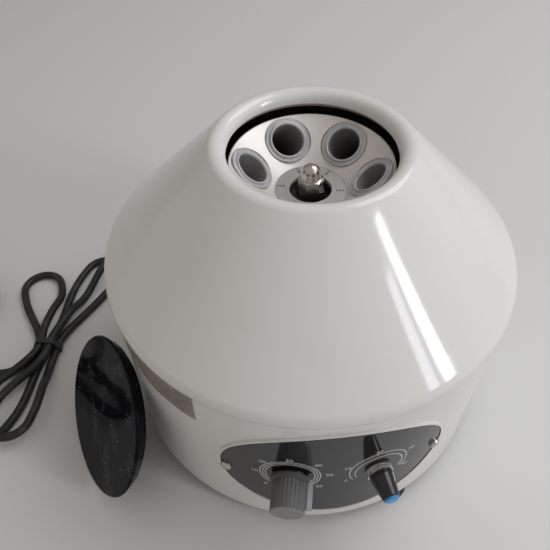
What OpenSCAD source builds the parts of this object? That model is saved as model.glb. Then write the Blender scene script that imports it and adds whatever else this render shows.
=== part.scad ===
// Six-place bench centrifuge with a conical cover and a push-in lid.
// The origin is the centre of the base plate's underside; +Z is up and the panel faces -Y.
// The lid stands on the table and leans on the left side of the housing.

/* [Housing] */
// Height of the feet, from the table to the base plate
foot_h = 8; // [6:0.5:12]
// Outer radius of the housing at its bottom edge
base_r = 130.5; // [126:0.5:136]
// How much narrower the lower body is at the seam than at its bottom edge
wall_taper = 2.5; // [1:0.5:4]
// Height of the seam between the lower body and the cover
seam_z = 124; // [118:1:132]
// Wall thickness of both shells
wall = 3; // [2.5:0.5:3.5]
// How far the cover's rounded shoulder stands out over the seam
shoulder_proud = 2; // [1:0.5:4]
// Rounding radius of the shoulder
shoulder_round = 10; // [8:1:12]
// Slope of the cover's cone above the table
cone_slope = 45.5; // [44:0.5:47]
// Radius of the opening in the cover
mouth_r = 48; // [47.5:0.5:50]
// Rounding radius of the rolled rim
rim_round = 6; // [5:0.5:6.5]
// Thickness of the base plate
plate_t = 3; // [2.5:0.5:4]
// Radius of the flat pad pressed out of the middle of its underside
pad_r = 50; // [44:1:52]
// Height of that pad
pad_h = 0.8; // [0.4:0.1:1.2]

/* [Feet and fasteners] */
// Outer radius of a suction foot
foot_r = 13.4; // [11:0.2:15]
// Distance of the feet's centres in from the housing's bottom edge
foot_inset = 11.5; // [9.5:0.5:14.5]
// Turn of the first foot from the front
foot_turn = 21.6; // [15:0.2:30]
// Nominal thread radius of the M5 foot screws
foot_screw_r = 2.5; // [2:0.1:3]
// Nominal thread radius of the M4 screws
m4_r = 2; // [1.5:0.1:2.5]
// Pan head radius of the M4 screws
m4_head_r = 3.9; // [3.5:0.1:4.2]
// Distance of the cover screws in from the seam
cover_screw_inset = 10; // [9:0.5:12]

/* [Control panel] */
// Half width of the panel plate
panel_half_w = 66.6; // [60:0.2:70]
// Half height of the panel plate
panel_half_h = 50.5; // [46:0.5:52]
// Height of the panel's centre
panel_z = 63.6; // [61:0.2:65]
// Height of the two panel screws
panel_screw_z = 59.5; // [56:0.5:68]
// Thickness of the panel plate
panel_t = 1.2; // [0.8:0.1:1.6]
// Width of the raised bead around the plate
bead_w = 1.2; // [0.8:0.1:2.4]
// Height of the bead above the housing wall
bead_t = 1.6; // [1.4:0.1:2.2]
// Turn of the timer knob's axis from the front
timer_at = -11.9; // [-13:0.1:-11]
// Turn of the speed knob's axis from the front
speed_at = 10.9; // [10.5:0.1:12.5]
// Height of the knobs' axes
knob_z = 66; // [64:0.2:67]
// Radius of the two control shafts
control_shaft_r = 3; // [2.5:0.1:3.2]
// Radius of the controls' threaded necks
neck_r = 3.75; // [3.6:0.05:4]
// Radius of the flat boss around each control
boss_r = 8; // [7.5:0.1:8.5]
// Radius of the timer knob's barrel
timer_knob_r = 10.2; // [9.5:0.1:11]
// Length of the timer knob
timer_knob_l = 20.9; // [19:0.1:22]
// Radius of the speed knob's knurled ring
speed_ring_r = 7.8; // [7.6:0.1:8.6]
// Length of the speed knob
speed_knob_l = 19.7; // [17:0.1:21]

/* [Rotor] */
// Outer radius of the rotor dish
dish_r = 47.2; // [46:0.2:47.4]
// Slope of the dish and tilt of the sleeves
dish_slope = 38; // [35:0.5:40]
// Height of the flat middle of the dish
dish_z = 172; // [170:0.5:174]
// Thickness of the dish
dish_t = 2.5; // [2:0.1:3]
// Outer radius of the number ring
ring_r = 20.6; // [19:0.1:21]
// Radius of the recess inside the number ring
recess_r = 12.5; // [11.5:0.1:13.5]
// Radius of the circle that the sleeve mouths sit on
sleeve_ring_r = 34.8; // [34.4:0.1:35.2]
// Turn of the rotor at rest, from the front
rotor_turn = 16.3; // [0:0.1:60]
// Outer radius of a sleeve's flange
flange_r = 14; // [13.4:0.1:14.2]
// Outer radius of a sleeve's body
sleeve_r = 11.4; // [11:0.1:11.8]
// Inner radius of a sleeve, for a 20 ml tube
sleeve_bore_r = 9.7; // [9.2:0.1:10]
// Length of a sleeve below its flange
sleeve_l = 84; // [78:1:86]
// Radius of the spindle
spindle_r = 5; // [4.5:0.1:5.5]
// Distance that a sleeve is raised in the model
sleeve_lift = 9; // [4:1:10]

/* [Chamber] */
// Distance from the housing's seam in to the inner wall of the chamber bowl
bowl_gap = 20; // [19:0.5:22]
// Height of the bowl's floor
bowl_z = 96; // [94:0.5:97]
// Wall thickness of the bowl
bowl_t = 2.5; // [2:0.1:3]
// Wall thickness of the hood over the bowl
hood_t = 1.5; // [1.2:0.1:2]

/* [Motor] */
// Outer radius of the motor can
motor_r = 40; // [36:0.5:44]
// Height of the motor's lower end
motor_z = 24; // [20:1:30]
// Height of the motor plate
motor_plate_z = 84; // [82:1:86]
// Radius of the motor plate
motor_plate_r = 68; // [64:1:72]
// Distance of the plate's posts from the centre
post_ring_r = 58; // [55:0.5:60]
// Radius of the posts and dampers
post_r = 6; // [5:0.5:7]
// Height of a rubber damper
damper_h = 7; // [5:0.5:8]

/* [Lid] */
// Outer radius of the lid
lid_r = 54; // [53:0.5:55]
// Radius of the lid's underside
lid_under_r = 50.5; // [49.5:0.5:52]
// Thickness of the lid's head
lid_head_t = 7; // [6:0.5:8]
// Radius of the plug that enters the opening
lid_plug_r = 46.6; // [46:0.1:47]
// Depth of the plug
lid_plug_h = 3.2; // [2.5:0.1:3.6]
// Tilt of the leaning lid from upright
lid_tilt = 27.6; // [26:0.2:29]
// Direction that the leaning lid faces, from the front
lid_turn = -66.9; // [-75:0.1:-60]

/* [Mains lead] */
// Diameter of the mains lead
cord_d = 6.5; // [6:0.1:7]

/* [Hidden] */

// Rounding quality of turned parts.
$fn = 96;
// Clearance between parts of one body that sit in each other.
fit_gap = 0.2;
// Radial clearance of a turning shaft in its bearing.
run_gap = 0.03;
// Small overlap that lets cutting shapes pass a face.
cut = 1;
table_z = -foot_h;

// Rings that keep their distance from the housing's wall.
seam_r = base_r - wall_taper;
shoulder_r = seam_r + shoulder_proud;
foot_ring_r = base_r - foot_inset;
cover_screw_ring_r = seam_r - cover_screw_inset;
bowl_r = seam_r - bowl_gap;

// Outer radius of the lower body at a height.
function wall_r(z) = base_r - (base_r - seam_r) * z / seam_z;

// Points of an arc in the profile plane, from angle a0 to a1.
function arc(cx, cz, r, a0, a1, n) =
    [for (i = [0 : n]) [cx + r * cos(a0 + (a1 - a0) * i / n), cz + r * sin(a0 + (a1 - a0) * i / n)]];

// Centre of the shoulder's rounding and where the cone starts.
shoulder_c = [shoulder_r - shoulder_round, seam_z + 3];
cone_a = 90 - cone_slope;
cone_start = shoulder_c + shoulder_round * [cos(cone_a), sin(cone_a)];
// The rolled rim touches the cone line: its centre height follows from that.
rim_c_r = mouth_r + rim_round;
rim_c_z = cone_start[1] + (cone_start[0] - rim_c_r) * tan(cone_slope) - rim_round / cos(cone_slope);
rim_top = rim_c_z + rim_round;
mouth_low_z = rim_c_z - 1.7;
seam_arc_a = -asin((shoulder_c[1] - seam_z) / shoulder_round);

// Height of the cover's inner cone face at a radius, offset inwards by a distance.
function cone_in_z(r, off) =
    cone_start[1] + (cone_start[0] - r) * tan(cone_slope) - off / cos(cone_slope);

// Radius of that face at a height.
function cone_in_r(z, off) =
    cone_start[0] - (z - cone_start[1] + off / cos(cone_slope)) / tan(cone_slope);

// Directions around the axis: 0 is the front, turning towards +X.
module around(a, r) {
    rotate([0, 0, a])
        translate([0, -r, 0])
            children();
}

// A shape that stands along +Z is turned to point towards -Y from a place on the panel.
module forward(x, y, z) {
    translate([x, y, z])
        rotate([90, 0, 0])
            children();
}

foot_turns = [for (k = [0 : 2]) foot_turn + 120 * k];
base_screw_turns = [for (k = [0 : 2]) foot_turn + 60 + 120 * k];
cover_screw_turns = base_screw_turns;
post_turns = [for (k = [0 : 2]) 60 + 120 * k];

// Outline of the panel plate seen from the front, grown by a margin.
panel_points = 64;
module panel_outline(grow) {
    polygon([for (i = [0 : panel_points - 1])
        let (a = 360 * i / panel_points)
        [(panel_half_w + grow) * cos(a), (panel_half_h + grow) * sin(a)]]);
}

// The part of a skin around the wall that lies in front of the panel's outline.
module panel_skin(low, high, grow, hole_grow) {
    intersection() {
        rotate_extrude()
            polygon([
                [wall_r(0) + low, 0],
                [wall_r(0) + high, 0],
                [wall_r(seam_z) + high, seam_z],
                [wall_r(seam_z) + low, seam_z]
            ]);
        forward(0, 0, panel_z)
            linear_extrude(base_r + 20)
                difference() {
                    panel_outline(grow);
                    if (hole_grow > -90)
                        panel_outline(hole_grow);
                }
    }
}

// Face of the flat bosses that the two controls are clamped to.
boss_y = wall_r(knob_z) + panel_t + 0.3;
// Inner pads that the controls' bodies rest against.
timer_half = 15;
timer_depth = 22;
pad_y = sqrt(pow(wall_r(knob_z) - wall, 2) - pow(timer_half, 2)) - 1;

// The frame of a control: its axis stands square on the wall, at a turn from the front.
module at_control(turn) {
    rotate([0, 0, turn])
        forward(0, 0, knob_z)
            children();
}
control_nut_t = 2.2;
control_nut_r = 5.7;
neck_end_y = boss_y + control_nut_t + 0.3;
// Each knob starts just off its boss; a hollow in it takes the control's nut.
knob_back_y = boss_y + 0.5;
nut_hollow_r = 6.1;
nut_hollow_d = 3.4;
// Distance of a panel screw in from the plate's end, clear of the bead.
panel_screw_inset = 3.6;
panel_screw_turn = asin((panel_half_w - panel_screw_inset) / wall_r(panel_screw_z));
panel_screw_y = wall_r(panel_screw_z) + panel_t;

lug_r = 6;
lug_h = 12;
ledge_h = 4;
ledge_z = seam_z - 3 - ledge_h;
ledge_in_r = bowl_r + bowl_t + 1.5;
tongue_h = 4;
tongue_out_r = sqrt(pow(shoulder_round - wall, 2) - pow(shoulder_c[1] - seam_z, 2))
    + shoulder_c[0] - fit_gap;
tongue_t = 1.2;

module base_plate() {
    vent_w = 4;
    color("dimgray")
        difference() {
            union() {
                translate([0, 0, pad_h])
                    cylinder(h = plate_t - pad_h, r = base_r - wall - 0.5);
                cylinder(h = plate_t, r = pad_r);
            }
            for (a = foot_turns)
                around(a, foot_ring_r)
                    translate([0, 0, -cut])
                        cylinder(h = plate_t + 2 * cut, r = foot_screw_r + fit_gap);
            for (a = base_screw_turns)
                around(a, foot_ring_r)
                    translate([0, 0, -cut])
                        cylinder(h = plate_t + 2 * cut, r = m4_r + fit_gap);
            for (a = post_turns)
                around(a, post_ring_r)
                    translate([0, 0, -cut])
                        cylinder(h = plate_t + 2 * cut, r = m4_r + fit_gap);
            for (k = [-2 : 2])
                translate([14 * k - vent_w / 2, -18, -cut])
                    cube([vent_w, 36, plate_t + 2 * cut]);
        }
}

module foot() {
    stem_r = 6.2;
    color([0.07, 0.07, 0.075])
        rotate_extrude($fn = 48)
            polygon([
                [0, table_z + 2.6],
                [foot_r * 0.55, table_z + 2.2],
                [foot_r - 2.4, table_z],
                [foot_r - 0.5, table_z],
                [foot_r, table_z + 1.2],
                [foot_r * 0.72, table_z + 4.4],
                [stem_r, table_z + 5.4],
                [stem_r, pad_h],
                [foot_screw_r + 0.02, pad_h],
                [foot_screw_r + 0.02, table_z + 3.6],
                [0, table_z + 3.6]
            ]);
}

module feet() {
    for (a = foot_turns)
        around(a, foot_ring_r)
            foot();
}

module pan_screw(length, shaft_r, head_r, head_t) {
    union() {
        translate([0, 0, -length])
            cylinder(h = length, r = shaft_r, $fn = 32);
        rotate_extrude($fn = 32)
            polygon([
                [0, 0],
                [head_r, 0],
                [head_r, head_t * 0.45],
                [head_r * 0.8, head_t * 0.85],
                [head_r * 0.4, head_t],
                [0, head_t]
            ]);
    }
}

module foot_screws() {
    color("silver")
        for (a = foot_turns)
            around(a, foot_ring_r)
                translate([0, 0, plate_t])
                    pan_screw(plate_t + foot_h - 3.8, foot_screw_r, foot_screw_r * 1.9, 2.6);
}

module base_screws() {
    color("silver")
        for (a = base_screw_turns)
            around(a, foot_ring_r)
                translate([0, 0, pad_h])
                    rotate([180, 0, 0])
                        pan_screw(plate_t - pad_h + 9, m4_r, m4_head_r, 2.4);
}

module control_holes(r) {
    for (a = [timer_at, speed_at])
        at_control(a)
            cylinder(h = base_r + 20, r = r);
}

module lower_body() {
    color("white")
        difference() {
            union() {
                rotate_extrude($fn = 180)
                    polygon([
                        [wall_r(0) - wall, 0],
                        [wall_r(0) - 0.8, 0],
                        [wall_r(0.8), 0.8],
                        [wall_r(seam_z), seam_z],
                        [tongue_out_r, seam_z],
                        [tongue_out_r, seam_z + tongue_h],
                        [tongue_out_r - tongue_t, seam_z + tongue_h],
                        [wall_r(seam_z) - wall, seam_z - 2],
                        [wall_r(ledge_z) - wall, ledge_z + ledge_h],
                        [ledge_in_r, ledge_z + ledge_h],
                        [ledge_in_r, ledge_z],
                        [wall_r(ledge_z) - wall, ledge_z - (wall_r(ledge_z) - wall - ledge_in_r)]
                    ]);
                panel_skin(-0.5, bead_t, bead_w, 0.3);
                for (a = [timer_at, speed_at])
                    at_control(a)
                        translate([0, 0, pad_y])
                            cylinder(h = boss_y - pad_y, r = boss_r);
                for (a = base_screw_turns)
                    around(a, foot_ring_r)
                        translate([0, 0, plate_t])
                            cylinder(h = lug_h, r = lug_r, $fn = 48);
                for (a = base_screw_turns)
                    rotate([0, 0, a])
                        translate([-lug_r, -(wall_r(lug_h) - wall + 1), plate_t])
                            cube([2 * lug_r, wall_r(lug_h) - wall + 1 - foot_ring_r, lug_h]);
                around(relief_turn, wall_r(relief_z) - wall - 3)
                    translate([0, 0, relief_z])
                        rotate([90, 0, 0])
                            cylinder(h = 4, r = relief_r + 4, $fn = 48);
                around(fuse_turn, wall_r(fuse_z) - wall - 3)
                    translate([0, 0, fuse_z])
                        rotate([90, 0, 0])
                            cylinder(h = 4, r = fuse_r + 4, $fn = 48);
            }
            control_holes(neck_r + 0.1);
            for (a = cover_screw_turns)
                around(a, cover_screw_ring_r)
                    translate([0, 0, ledge_z - 20])
                        cylinder(h = 40, r = m4_r + fit_gap, $fn = 32);
            for (a = cover_screw_turns)
                around(a, cover_screw_ring_r)
                    translate([0, 0, ledge_z - 20])
                        cylinder(h = 20, r = m4_head_r + 0.4, $fn = 32);
            for (a = base_screw_turns)
                around(a, foot_ring_r)
                    translate([0, 0, plate_t - cut])
                        cylinder(h = 10.2 + cut, r = m4_r + 0.02, $fn = 32);
            for (s = [-1, 1])
                around(s * panel_screw_turn, 0)
                    forward(0, 0, panel_screw_z)
                        translate([0, 0, panel_screw_y - 10])
                            cylinder(h = 20, r = m3_r + 0.05, $fn = 32);
            for (s = [-1, 1])
                around(s * panel_screw_turn, 0)
                    forward(0, 0, panel_screw_z)
                        translate([0, 0, panel_screw_y - 0.1])
                            cylinder(h = 10, r = m3_head_r + 0.25, $fn = 48);
            around(relief_turn, 0)
                forward(0, 0, relief_z)
                    translate([0, 0, wall_r(relief_z) - 12])
                        cylinder(h = 24, r = relief_r + 0.1, $fn = 48);
            around(fuse_turn, 0)
                forward(0, 0, fuse_z)
                    translate([0, 0, wall_r(fuse_z) - 12])
                        cylinder(h = 24, r = fuse_r + 0.1, $fn = 48);
        }
}

module top_cover() {
    inner_arc_low = -asin((shoulder_c[1] - seam_z) / (shoulder_round - wall));
    color("white")
        difference() {
            union() {
                rotate_extrude($fn = 180)
                    polygon(concat(
                        arc(shoulder_c[0], shoulder_c[1], shoulder_round, seam_arc_a, cone_a, 8),
                        arc(rim_c_r, rim_c_z, rim_round, cone_a, 180, 12),
                        [
                            [mouth_r, mouth_low_z],
                            [cone_in_r(mouth_low_z, wall), mouth_low_z]
                        ],
                        arc(shoulder_c[0], shoulder_c[1], shoulder_round - wall, cone_a, inner_arc_low, 6)
                    ));
                intersection() {
                    for (a = cover_screw_turns)
                        around(a, cover_screw_ring_r)
                            translate([0, 0, seam_z])
                                cylinder(h = 40, r = m4_r + 3, $fn = 32);
                    rotate_extrude()
                        polygon([
                            [90, seam_z],
                            [shoulder_c[0] + shoulder_round - wall - 2, seam_z],
                            [cone_in_r(seam_z + 12, wall - 0.6), seam_z + 12],
                            [90, cone_in_z(90, wall - 0.6)]
                        ]);
                }
            }
            for (a = cover_screw_turns)
                around(a, cover_screw_ring_r)
                    translate([0, 0, seam_z - cut])
                        cylinder(h = 9 + cut, r = m4_r + 0.02, $fn = 32);
        }
}

module cover_screws() {
    color("silver")
        for (a = cover_screw_turns)
            around(a, cover_screw_ring_r)
                translate([0, 0, ledge_z])
                    rotate([180, 0, 0])
                        pan_screw(ledge_h + 3 + 8, m4_r, m4_head_r, 2.4);
}

// A strip of clear brown packing tape that the photographed machine still has below its seam.
tape_t = 0.15;
tape_low_z = 97;
tape_from = -105;
tape_to = -37;
module edge_tape() {
    color([0.55, 0.5, 0.44])
        rotate([0, 0, tape_from - 90])
            rotate_extrude(angle = tape_to - tape_from)
                polygon([
                    [wall_r(tape_low_z) + 0.05, tape_low_z],
                    [wall_r(tape_low_z) + 0.05 + tape_t, tape_low_z],
                    [wall_r(seam_z - 3) + 0.05 + tape_t, seam_z - 3],
                    [wall_r(seam_z - 3) + 0.05, seam_z - 3]
                ]);
}

module control_panel() {
    color([0.2, 0.2, 0.21])
        difference() {
            panel_skin(0.05, panel_t, 0, -99);
            for (a = [timer_at, speed_at])
                at_control(a)
                    cylinder(h = base_r + 20, r = boss_r + 0.3);
            for (s = [-1, 1])
                around(s * panel_screw_turn, 0)
                    forward(0, 0, panel_screw_z)
                        cylinder(h = base_r + 20, r = m3_r + 0.3, $fn = 32);
        }
}

m3_r = 1.5;
m3_head_r = 3.6;
module panel_screws() {
    color("silver")
        for (s = [-1, 1])
            around(s * panel_screw_turn, 0)
                forward(0, 0, panel_screw_z)
                    translate([0, 0, panel_screw_y + 0.05])
                        pan_screw(9, m3_r, m3_head_r, 2.4);
}

module timer_body() {
    color("khaki")
        difference() {
            union() {
                at_control(timer_at)
                    translate([-timer_half, -timer_half, pad_y - timer_depth])
                        cube([2 * timer_half, 2 * timer_half, timer_depth]);
                at_control(timer_at)
                    translate([0, 0, pad_y - cut])
                        cylinder(h = neck_end_y - pad_y + cut, r = neck_r);
            }
            at_control(timer_at)
                translate([0, 0, pad_y - 16])
                    cylinder(h = 60, r = control_shaft_r + run_gap);
        }
}

module speed_control() {
    color("steelblue")
        difference() {
            union() {
                at_control(speed_at)
                    translate([0, 0, pad_y - 11])
                        cylinder(h = 11, r = 12);
                at_control(speed_at)
                    translate([-8, -19, pad_y - 7])
                        cube([16, 12, 2]);
                at_control(speed_at)
                    translate([0, 0, pad_y - cut])
                        cylinder(h = neck_end_y - pad_y + cut, r = neck_r);
            }
            at_control(speed_at)
                translate([0, 0, pad_y - 8])
                    cylinder(h = 60, r = control_shaft_r + run_gap);
        }
}

module control_nut(turn) {
    color("silver")
        at_control(turn)
            translate([0, 0, boss_y])
                difference() {
                    cylinder(h = control_nut_t, r = control_nut_r, $fn = 6);
                    translate([0, 0, -cut])
                        cylinder(h = control_nut_t + 2 * cut, r = neck_r + 0.05);
                }
}

module timer_nut() {
    control_nut(timer_at);
}

module speed_nut() {
    control_nut(speed_at);
}

module control_shaft(turn, depth, out_y) {
    color("silver")
        at_control(turn)
            translate([0, 0, pad_y - depth])
                cylinder(h = out_y - pad_y + depth, r = control_shaft_r);
}

skirt_t = 1.6;
shaft_in_knob = 10;
module timer_shaft() {
    control_shaft(timer_at, 15, knob_back_y + shaft_in_knob);
}

module speed_shaft() {
    control_shaft(speed_at, 7, knob_back_y + shaft_in_knob);
}

module timer_knob_skirt() {
    color([0.08, 0.08, 0.085])
        at_control(timer_at)
            translate([0, 0, knob_back_y])
                difference() {
                    cylinder(h = skirt_t, r = timer_knob_r + 0.5);
                    translate([0, 0, -cut])
                        cylinder(h = skirt_t + 2 * cut, r = nut_hollow_r);
                }
}

module timer_knob() {
    barrel_l = timer_knob_l - skirt_t;
    flute_r = 0.8;
    flutes = 26;
    fin_w = 4.4;
    fin_out = 13.6;
    color([0.45, 0.45, 0.46])
        at_control(timer_at)
            translate([0, 0, knob_back_y + skirt_t])
                difference() {
                    union() {
                        rotate_extrude()
                            polygon([
                                [0, 0],
                                [timer_knob_r + 1.6, 0],
                                [timer_knob_r + 1.6, 1.6],
                                [timer_knob_r, 2.4],
                                [timer_knob_r - 0.3, barrel_l - 0.8],
                                [timer_knob_r - 1.1, barrel_l],
                                [0, barrel_l]
                            ]);
                        translate([0, -fin_w / 2, 0])
                            cube([fin_out, fin_w, barrel_l - 3.5]);
                    }
                    for (k = [1 : flutes - 1])
                        if (k > 1 && k < flutes - 1)
                            rotate([0, 0, 360 * k / flutes])
                                translate([timer_knob_r + 0.35, 0, 2.4])
                                    cylinder(h = barrel_l, r = flute_r, $fn = 16);
                    translate([0, 0, -cut])
                        cylinder(h = shaft_in_knob - skirt_t + cut, r = control_shaft_r + 0.02);
                    translate([0, 0, -cut])
                        cylinder(h = nut_hollow_d - skirt_t + cut, r = nut_hollow_r);
                }
}

speed_ring_h = 3.6;
speed_cap_h = 1.3;
speed_cap_r = 4.4;
module speed_knob() {
    barrel_l = speed_knob_l - speed_cap_h;
    color([0.08, 0.08, 0.085])
        at_control(speed_at)
            translate([0, 0, knob_back_y])
                difference() {
                    rotate_extrude()
                        polygon([
                            [0, 0],
                            [speed_ring_r - 0.7, 0],
                            [speed_ring_r - 0.7, speed_ring_h],
                            [speed_ring_r - 0.7, speed_ring_h + 2.2],
                            [5.2, barrel_l - 0.6],
                            [4.7, barrel_l],
                            [0, barrel_l]
                        ]);
                    translate([0, 0, -cut])
                        cylinder(h = shaft_in_knob + cut, r = control_shaft_r + 0.02);
                    translate([0, 0, -cut])
                        cylinder(h = nut_hollow_d + cut, r = nut_hollow_r);
                }
}

module speed_knob_ring() {
    knurls = 30;
    color("silver")
        at_control(speed_at)
            translate([0, 0, knob_back_y])
                difference() {
                    cylinder(h = speed_ring_h, r = speed_ring_r);
                    translate([0, 0, -cut])
                        cylinder(h = speed_ring_h + 2 * cut, r = speed_ring_r - 0.68);
                    for (k = [0 : knurls - 1])
                        rotate([0, 0, 360 * k / knurls])
                            translate([speed_ring_r + 0.3, 0, -cut])
                                cylinder(h = speed_ring_h + 2 * cut, r = 0.5, $fn = 13);
                }
}

module speed_knob_cap() {
    color([0.1, 0.45, 0.75])
        at_control(speed_at)
            translate([0, 0, knob_back_y + speed_knob_l - speed_cap_h])
                rotate_extrude($fn = 48)
                    polygon([
                        [0, 0],
                        [speed_cap_r, 0],
                        [speed_cap_r, speed_cap_h * 0.6],
                        [speed_cap_r - 0.8, speed_cap_h],
                        [0, speed_cap_h]
                    ]);
}

flange_out_r = tongue_out_r - tongue_t - 0.5;
flange_t = seam_z - ledge_z - ledge_h;
module chamber_bowl() {
    color([0.1, 0.1, 0.11])
        difference() {
            rotate_extrude()
                polygon([
                    [rotor_hub_r + 2.5, bowl_z],
                    [bowl_r + bowl_t - 8, bowl_z],
                    [bowl_r + bowl_t, bowl_z + 8],
                    [bowl_r + bowl_t, seam_z - flange_t],
                    [flange_out_r, seam_z - flange_t],
                    [flange_out_r, seam_z],
                    [bowl_r, seam_z],
                    [bowl_r, bowl_z + 8 + bowl_t * 0.4],
                    [bowl_r - 8 + bowl_t * 0.6, bowl_z + bowl_t],
                    [rotor_hub_r + 2.5, bowl_z + bowl_t]
                ]);
            for (a = cover_screw_turns)
                around(a, cover_screw_ring_r)
                    translate([0, 0, seam_z - flange_t - cut])
                        cylinder(h = flange_t + 2 * cut, r = m4_r + fit_gap, $fn = 32);
        }
}

hood_off = wall + 2;
hood_top_z = mouth_low_z - 0.6;
hood_in_r = mouth_r + 1.6;
module chamber_hood() {
    hood_r = bowl_r + 4.5;
    t = hood_t / cos(cone_slope);
    color([0.06, 0.06, 0.065])
        rotate_extrude()
            polygon([
                [hood_r - hood_t, seam_z],
                [hood_r, seam_z],
                [hood_r, cone_in_z(hood_r, hood_off)],
                [cone_in_r(hood_top_z, hood_off), hood_top_z],
                [hood_in_r, hood_top_z],
                [hood_in_r, hood_top_z - hood_t],
                [cone_in_r(hood_top_z, hood_off) - hood_t * 0.4, hood_top_z - hood_t],
                [hood_r - hood_t, cone_in_z(hood_r, hood_off) - t + hood_t]
            ]);
}

post_base_screw_l = 12;
motor_screw_ring_r = 32;
motor_screw_turns = [for (k = [0 : 2]) 120 * k];
bell_t = 6;
module motor_plate() {
    color("gainsboro")
        difference() {
            translate([0, 0, motor_plate_z])
                cylinder(h = 3, r = motor_plate_r);
            translate([0, 0, motor_plate_z - cut])
                cylinder(h = 5, r = rotor_hub_r + 2);
            for (a = post_turns)
                around(a, post_ring_r)
                    translate([0, 0, motor_plate_z - cut])
                        cylinder(h = 5, r = m4_r + fit_gap, $fn = 32);
            for (a = motor_screw_turns)
                around(a, motor_screw_ring_r)
                    translate([0, 0, motor_plate_z - cut])
                        cylinder(h = 5, r = m4_r + fit_gap, $fn = 32);
        }
}

post_top_z = motor_plate_z - damper_h;
module plate_posts() {
    color("silver")
        for (a = post_turns)
            around(a, post_ring_r)
                difference() {
                    translate([0, 0, plate_t])
                        cylinder(h = post_top_z - plate_t, r = post_r, $fn = 48);
                    translate([0, 0, plate_t - cut])
                        cylinder(h = post_base_screw_l + cut, r = m4_r + 0.02, $fn = 32);
                    translate([0, 0, post_top_z - post_base_screw_l])
                        cylinder(h = post_base_screw_l + cut, r = m4_r + 0.02, $fn = 32);
                }
}

module dampers() {
    color([0.1, 0.1, 0.1])
        for (a = post_turns)
            around(a, post_ring_r)
                difference() {
                    translate([0, 0, post_top_z])
                        cylinder(h = damper_h, r = post_r + 2, $fn = 48);
                    translate([0, 0, post_top_z - cut])
                        cylinder(h = damper_h + 2 * cut, r = m4_r + 0.02, $fn = 32);
                }
}

module plate_screws() {
    color("silver") {
        for (a = post_turns)
            around(a, post_ring_r) {
                translate([0, 0, motor_plate_z + 3])
                    pan_screw(3 + damper_h + post_base_screw_l - 1, m4_r, m4_head_r, 2.4);
                translate([0, 0, pad_h])
                    rotate([180, 0, 0])
                        pan_screw(plate_t - pad_h + post_base_screw_l - 1, m4_r, m4_head_r, 2.4);
            }
        for (a = motor_screw_turns)
            around(a, motor_screw_ring_r)
                translate([0, 0, motor_plate_z + 3])
                    pan_screw(3 + bell_t - 1, m4_r, m4_head_r, 2.4);
    }
}

can_low_z = motor_z + bell_t;
can_top_z = motor_plate_z - bell_t;
brush_z = can_low_z + 11;
brush_r = 3.6;
bearing_r = 15;
bearing_h = 9;
module motor_can() {
    color("silver")
        difference() {
            translate([0, 0, can_low_z])
                cylinder(h = can_top_z - can_low_z, r = motor_r);
            translate([0, 0, can_low_z - cut])
                cylinder(h = can_top_z - can_low_z + 2 * cut, r = motor_r - 2);
            translate([-motor_r - 10, 0, brush_z])
                rotate([0, 90, 0])
                    cylinder(h = 2 * motor_r + 20, r = brush_r + 0.1, $fn = 32);
        }
}

module motor_lower_bell() {
    color("gray")
        difference() {
            union() {
                translate([0, 0, motor_z])
                    cylinder(h = bell_t, r = motor_r);
                translate([0, 0, motor_z])
                    cylinder(h = 3 + bearing_h, r = bearing_r + 2.5);
            }
            translate([0, 0, motor_z + 3])
                cylinder(h = bearing_h + cut, r = bearing_r + 0.01);
            translate([0, 0, motor_z - cut])
                cylinder(h = bearing_h, r = spindle_r + 1.5);
        }
}

module motor_upper_bell() {
    color("gray")
        difference() {
            union() {
                translate([0, 0, can_top_z])
                    cylinder(h = bell_t, r = motor_r);
                translate([0, 0, motor_plate_z - 3 - bearing_h])
                    cylinder(h = 3 + bearing_h, r = bearing_r + 2.5);
            }
            translate([0, 0, motor_plate_z - bearing_h])
                cylinder(h = bearing_h + cut, r = bearing_r + 0.01);
            translate([0, 0, motor_plate_z - 5 - bearing_h])
                cylinder(h = bearing_h, r = spindle_r + 1.5);
            for (a = motor_screw_turns)
                around(a, motor_screw_ring_r)
                    translate([0, 0, can_top_z - cut])
                        cylinder(h = bell_t + 2 * cut, r = m4_r + 0.02, $fn = 32);
        }
}

module bearing(z) {
    color("silver")
        translate([0, 0, z])
            difference() {
                cylinder(h = bearing_h, r = bearing_r);
                translate([0, 0, -cut])
                    cylinder(h = bearing_h + 2 * cut, r = spindle_r + run_gap);
                for (s = [-1, bearing_h - 0.8])
                    translate([0, 0, s])
                        difference() {
                            cylinder(h = 1.8, r = bearing_r - 2.5);
                            translate([0, 0, -cut])
                                cylinder(h = 4, r = spindle_r + 2.5);
                        }
            }
}

module upper_bearing() {
    bearing(motor_plate_z - bearing_h);
}

module lower_bearing() {
    bearing(motor_z + 3);
}

stator_in_r = 26;
module motor_stator() {
    color("peru")
        translate([0, 0, brush_z + brush_r + 3])
            difference() {
                cylinder(h = can_top_z - brush_z - brush_r - 7, r = motor_r - 2.2);
                translate([0, 0, -cut])
                    cylinder(h = can_top_z - brush_z - brush_r - 7 + 2 * cut, r = stator_in_r);
            }
}

commutator_r = 12;
module motor_armature() {
    color("darkgoldenrod")
        difference() {
            union() {
                translate([0, 0, brush_z + brush_r + 4])
                    cylinder(h = can_top_z - brush_z - brush_r - 11, r = stator_in_r - 0.8);
                translate([0, 0, brush_z - brush_r - 1])
                    cylinder(h = 2 * brush_r + 6, r = commutator_r);
            }
            translate([0, 0, can_low_z])
                cylinder(h = 60, r = spindle_r + 0.01);
        }
}

module brush_holders() {
    color([0.3, 0.2, 0.12])
        for (s = [-1, 1])
            translate([s * (commutator_r + 0.3), 0, brush_z])
                rotate([0, s * 90, 0])
                    union() {
                        cylinder(h = motor_r - commutator_r + 1.5, r = brush_r, $fn = 32);
                        translate([0, 0, motor_r - commutator_r])
                            cylinder(h = 4, r = brush_r + 1.5, $fn = 32);
                    }
}

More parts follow.
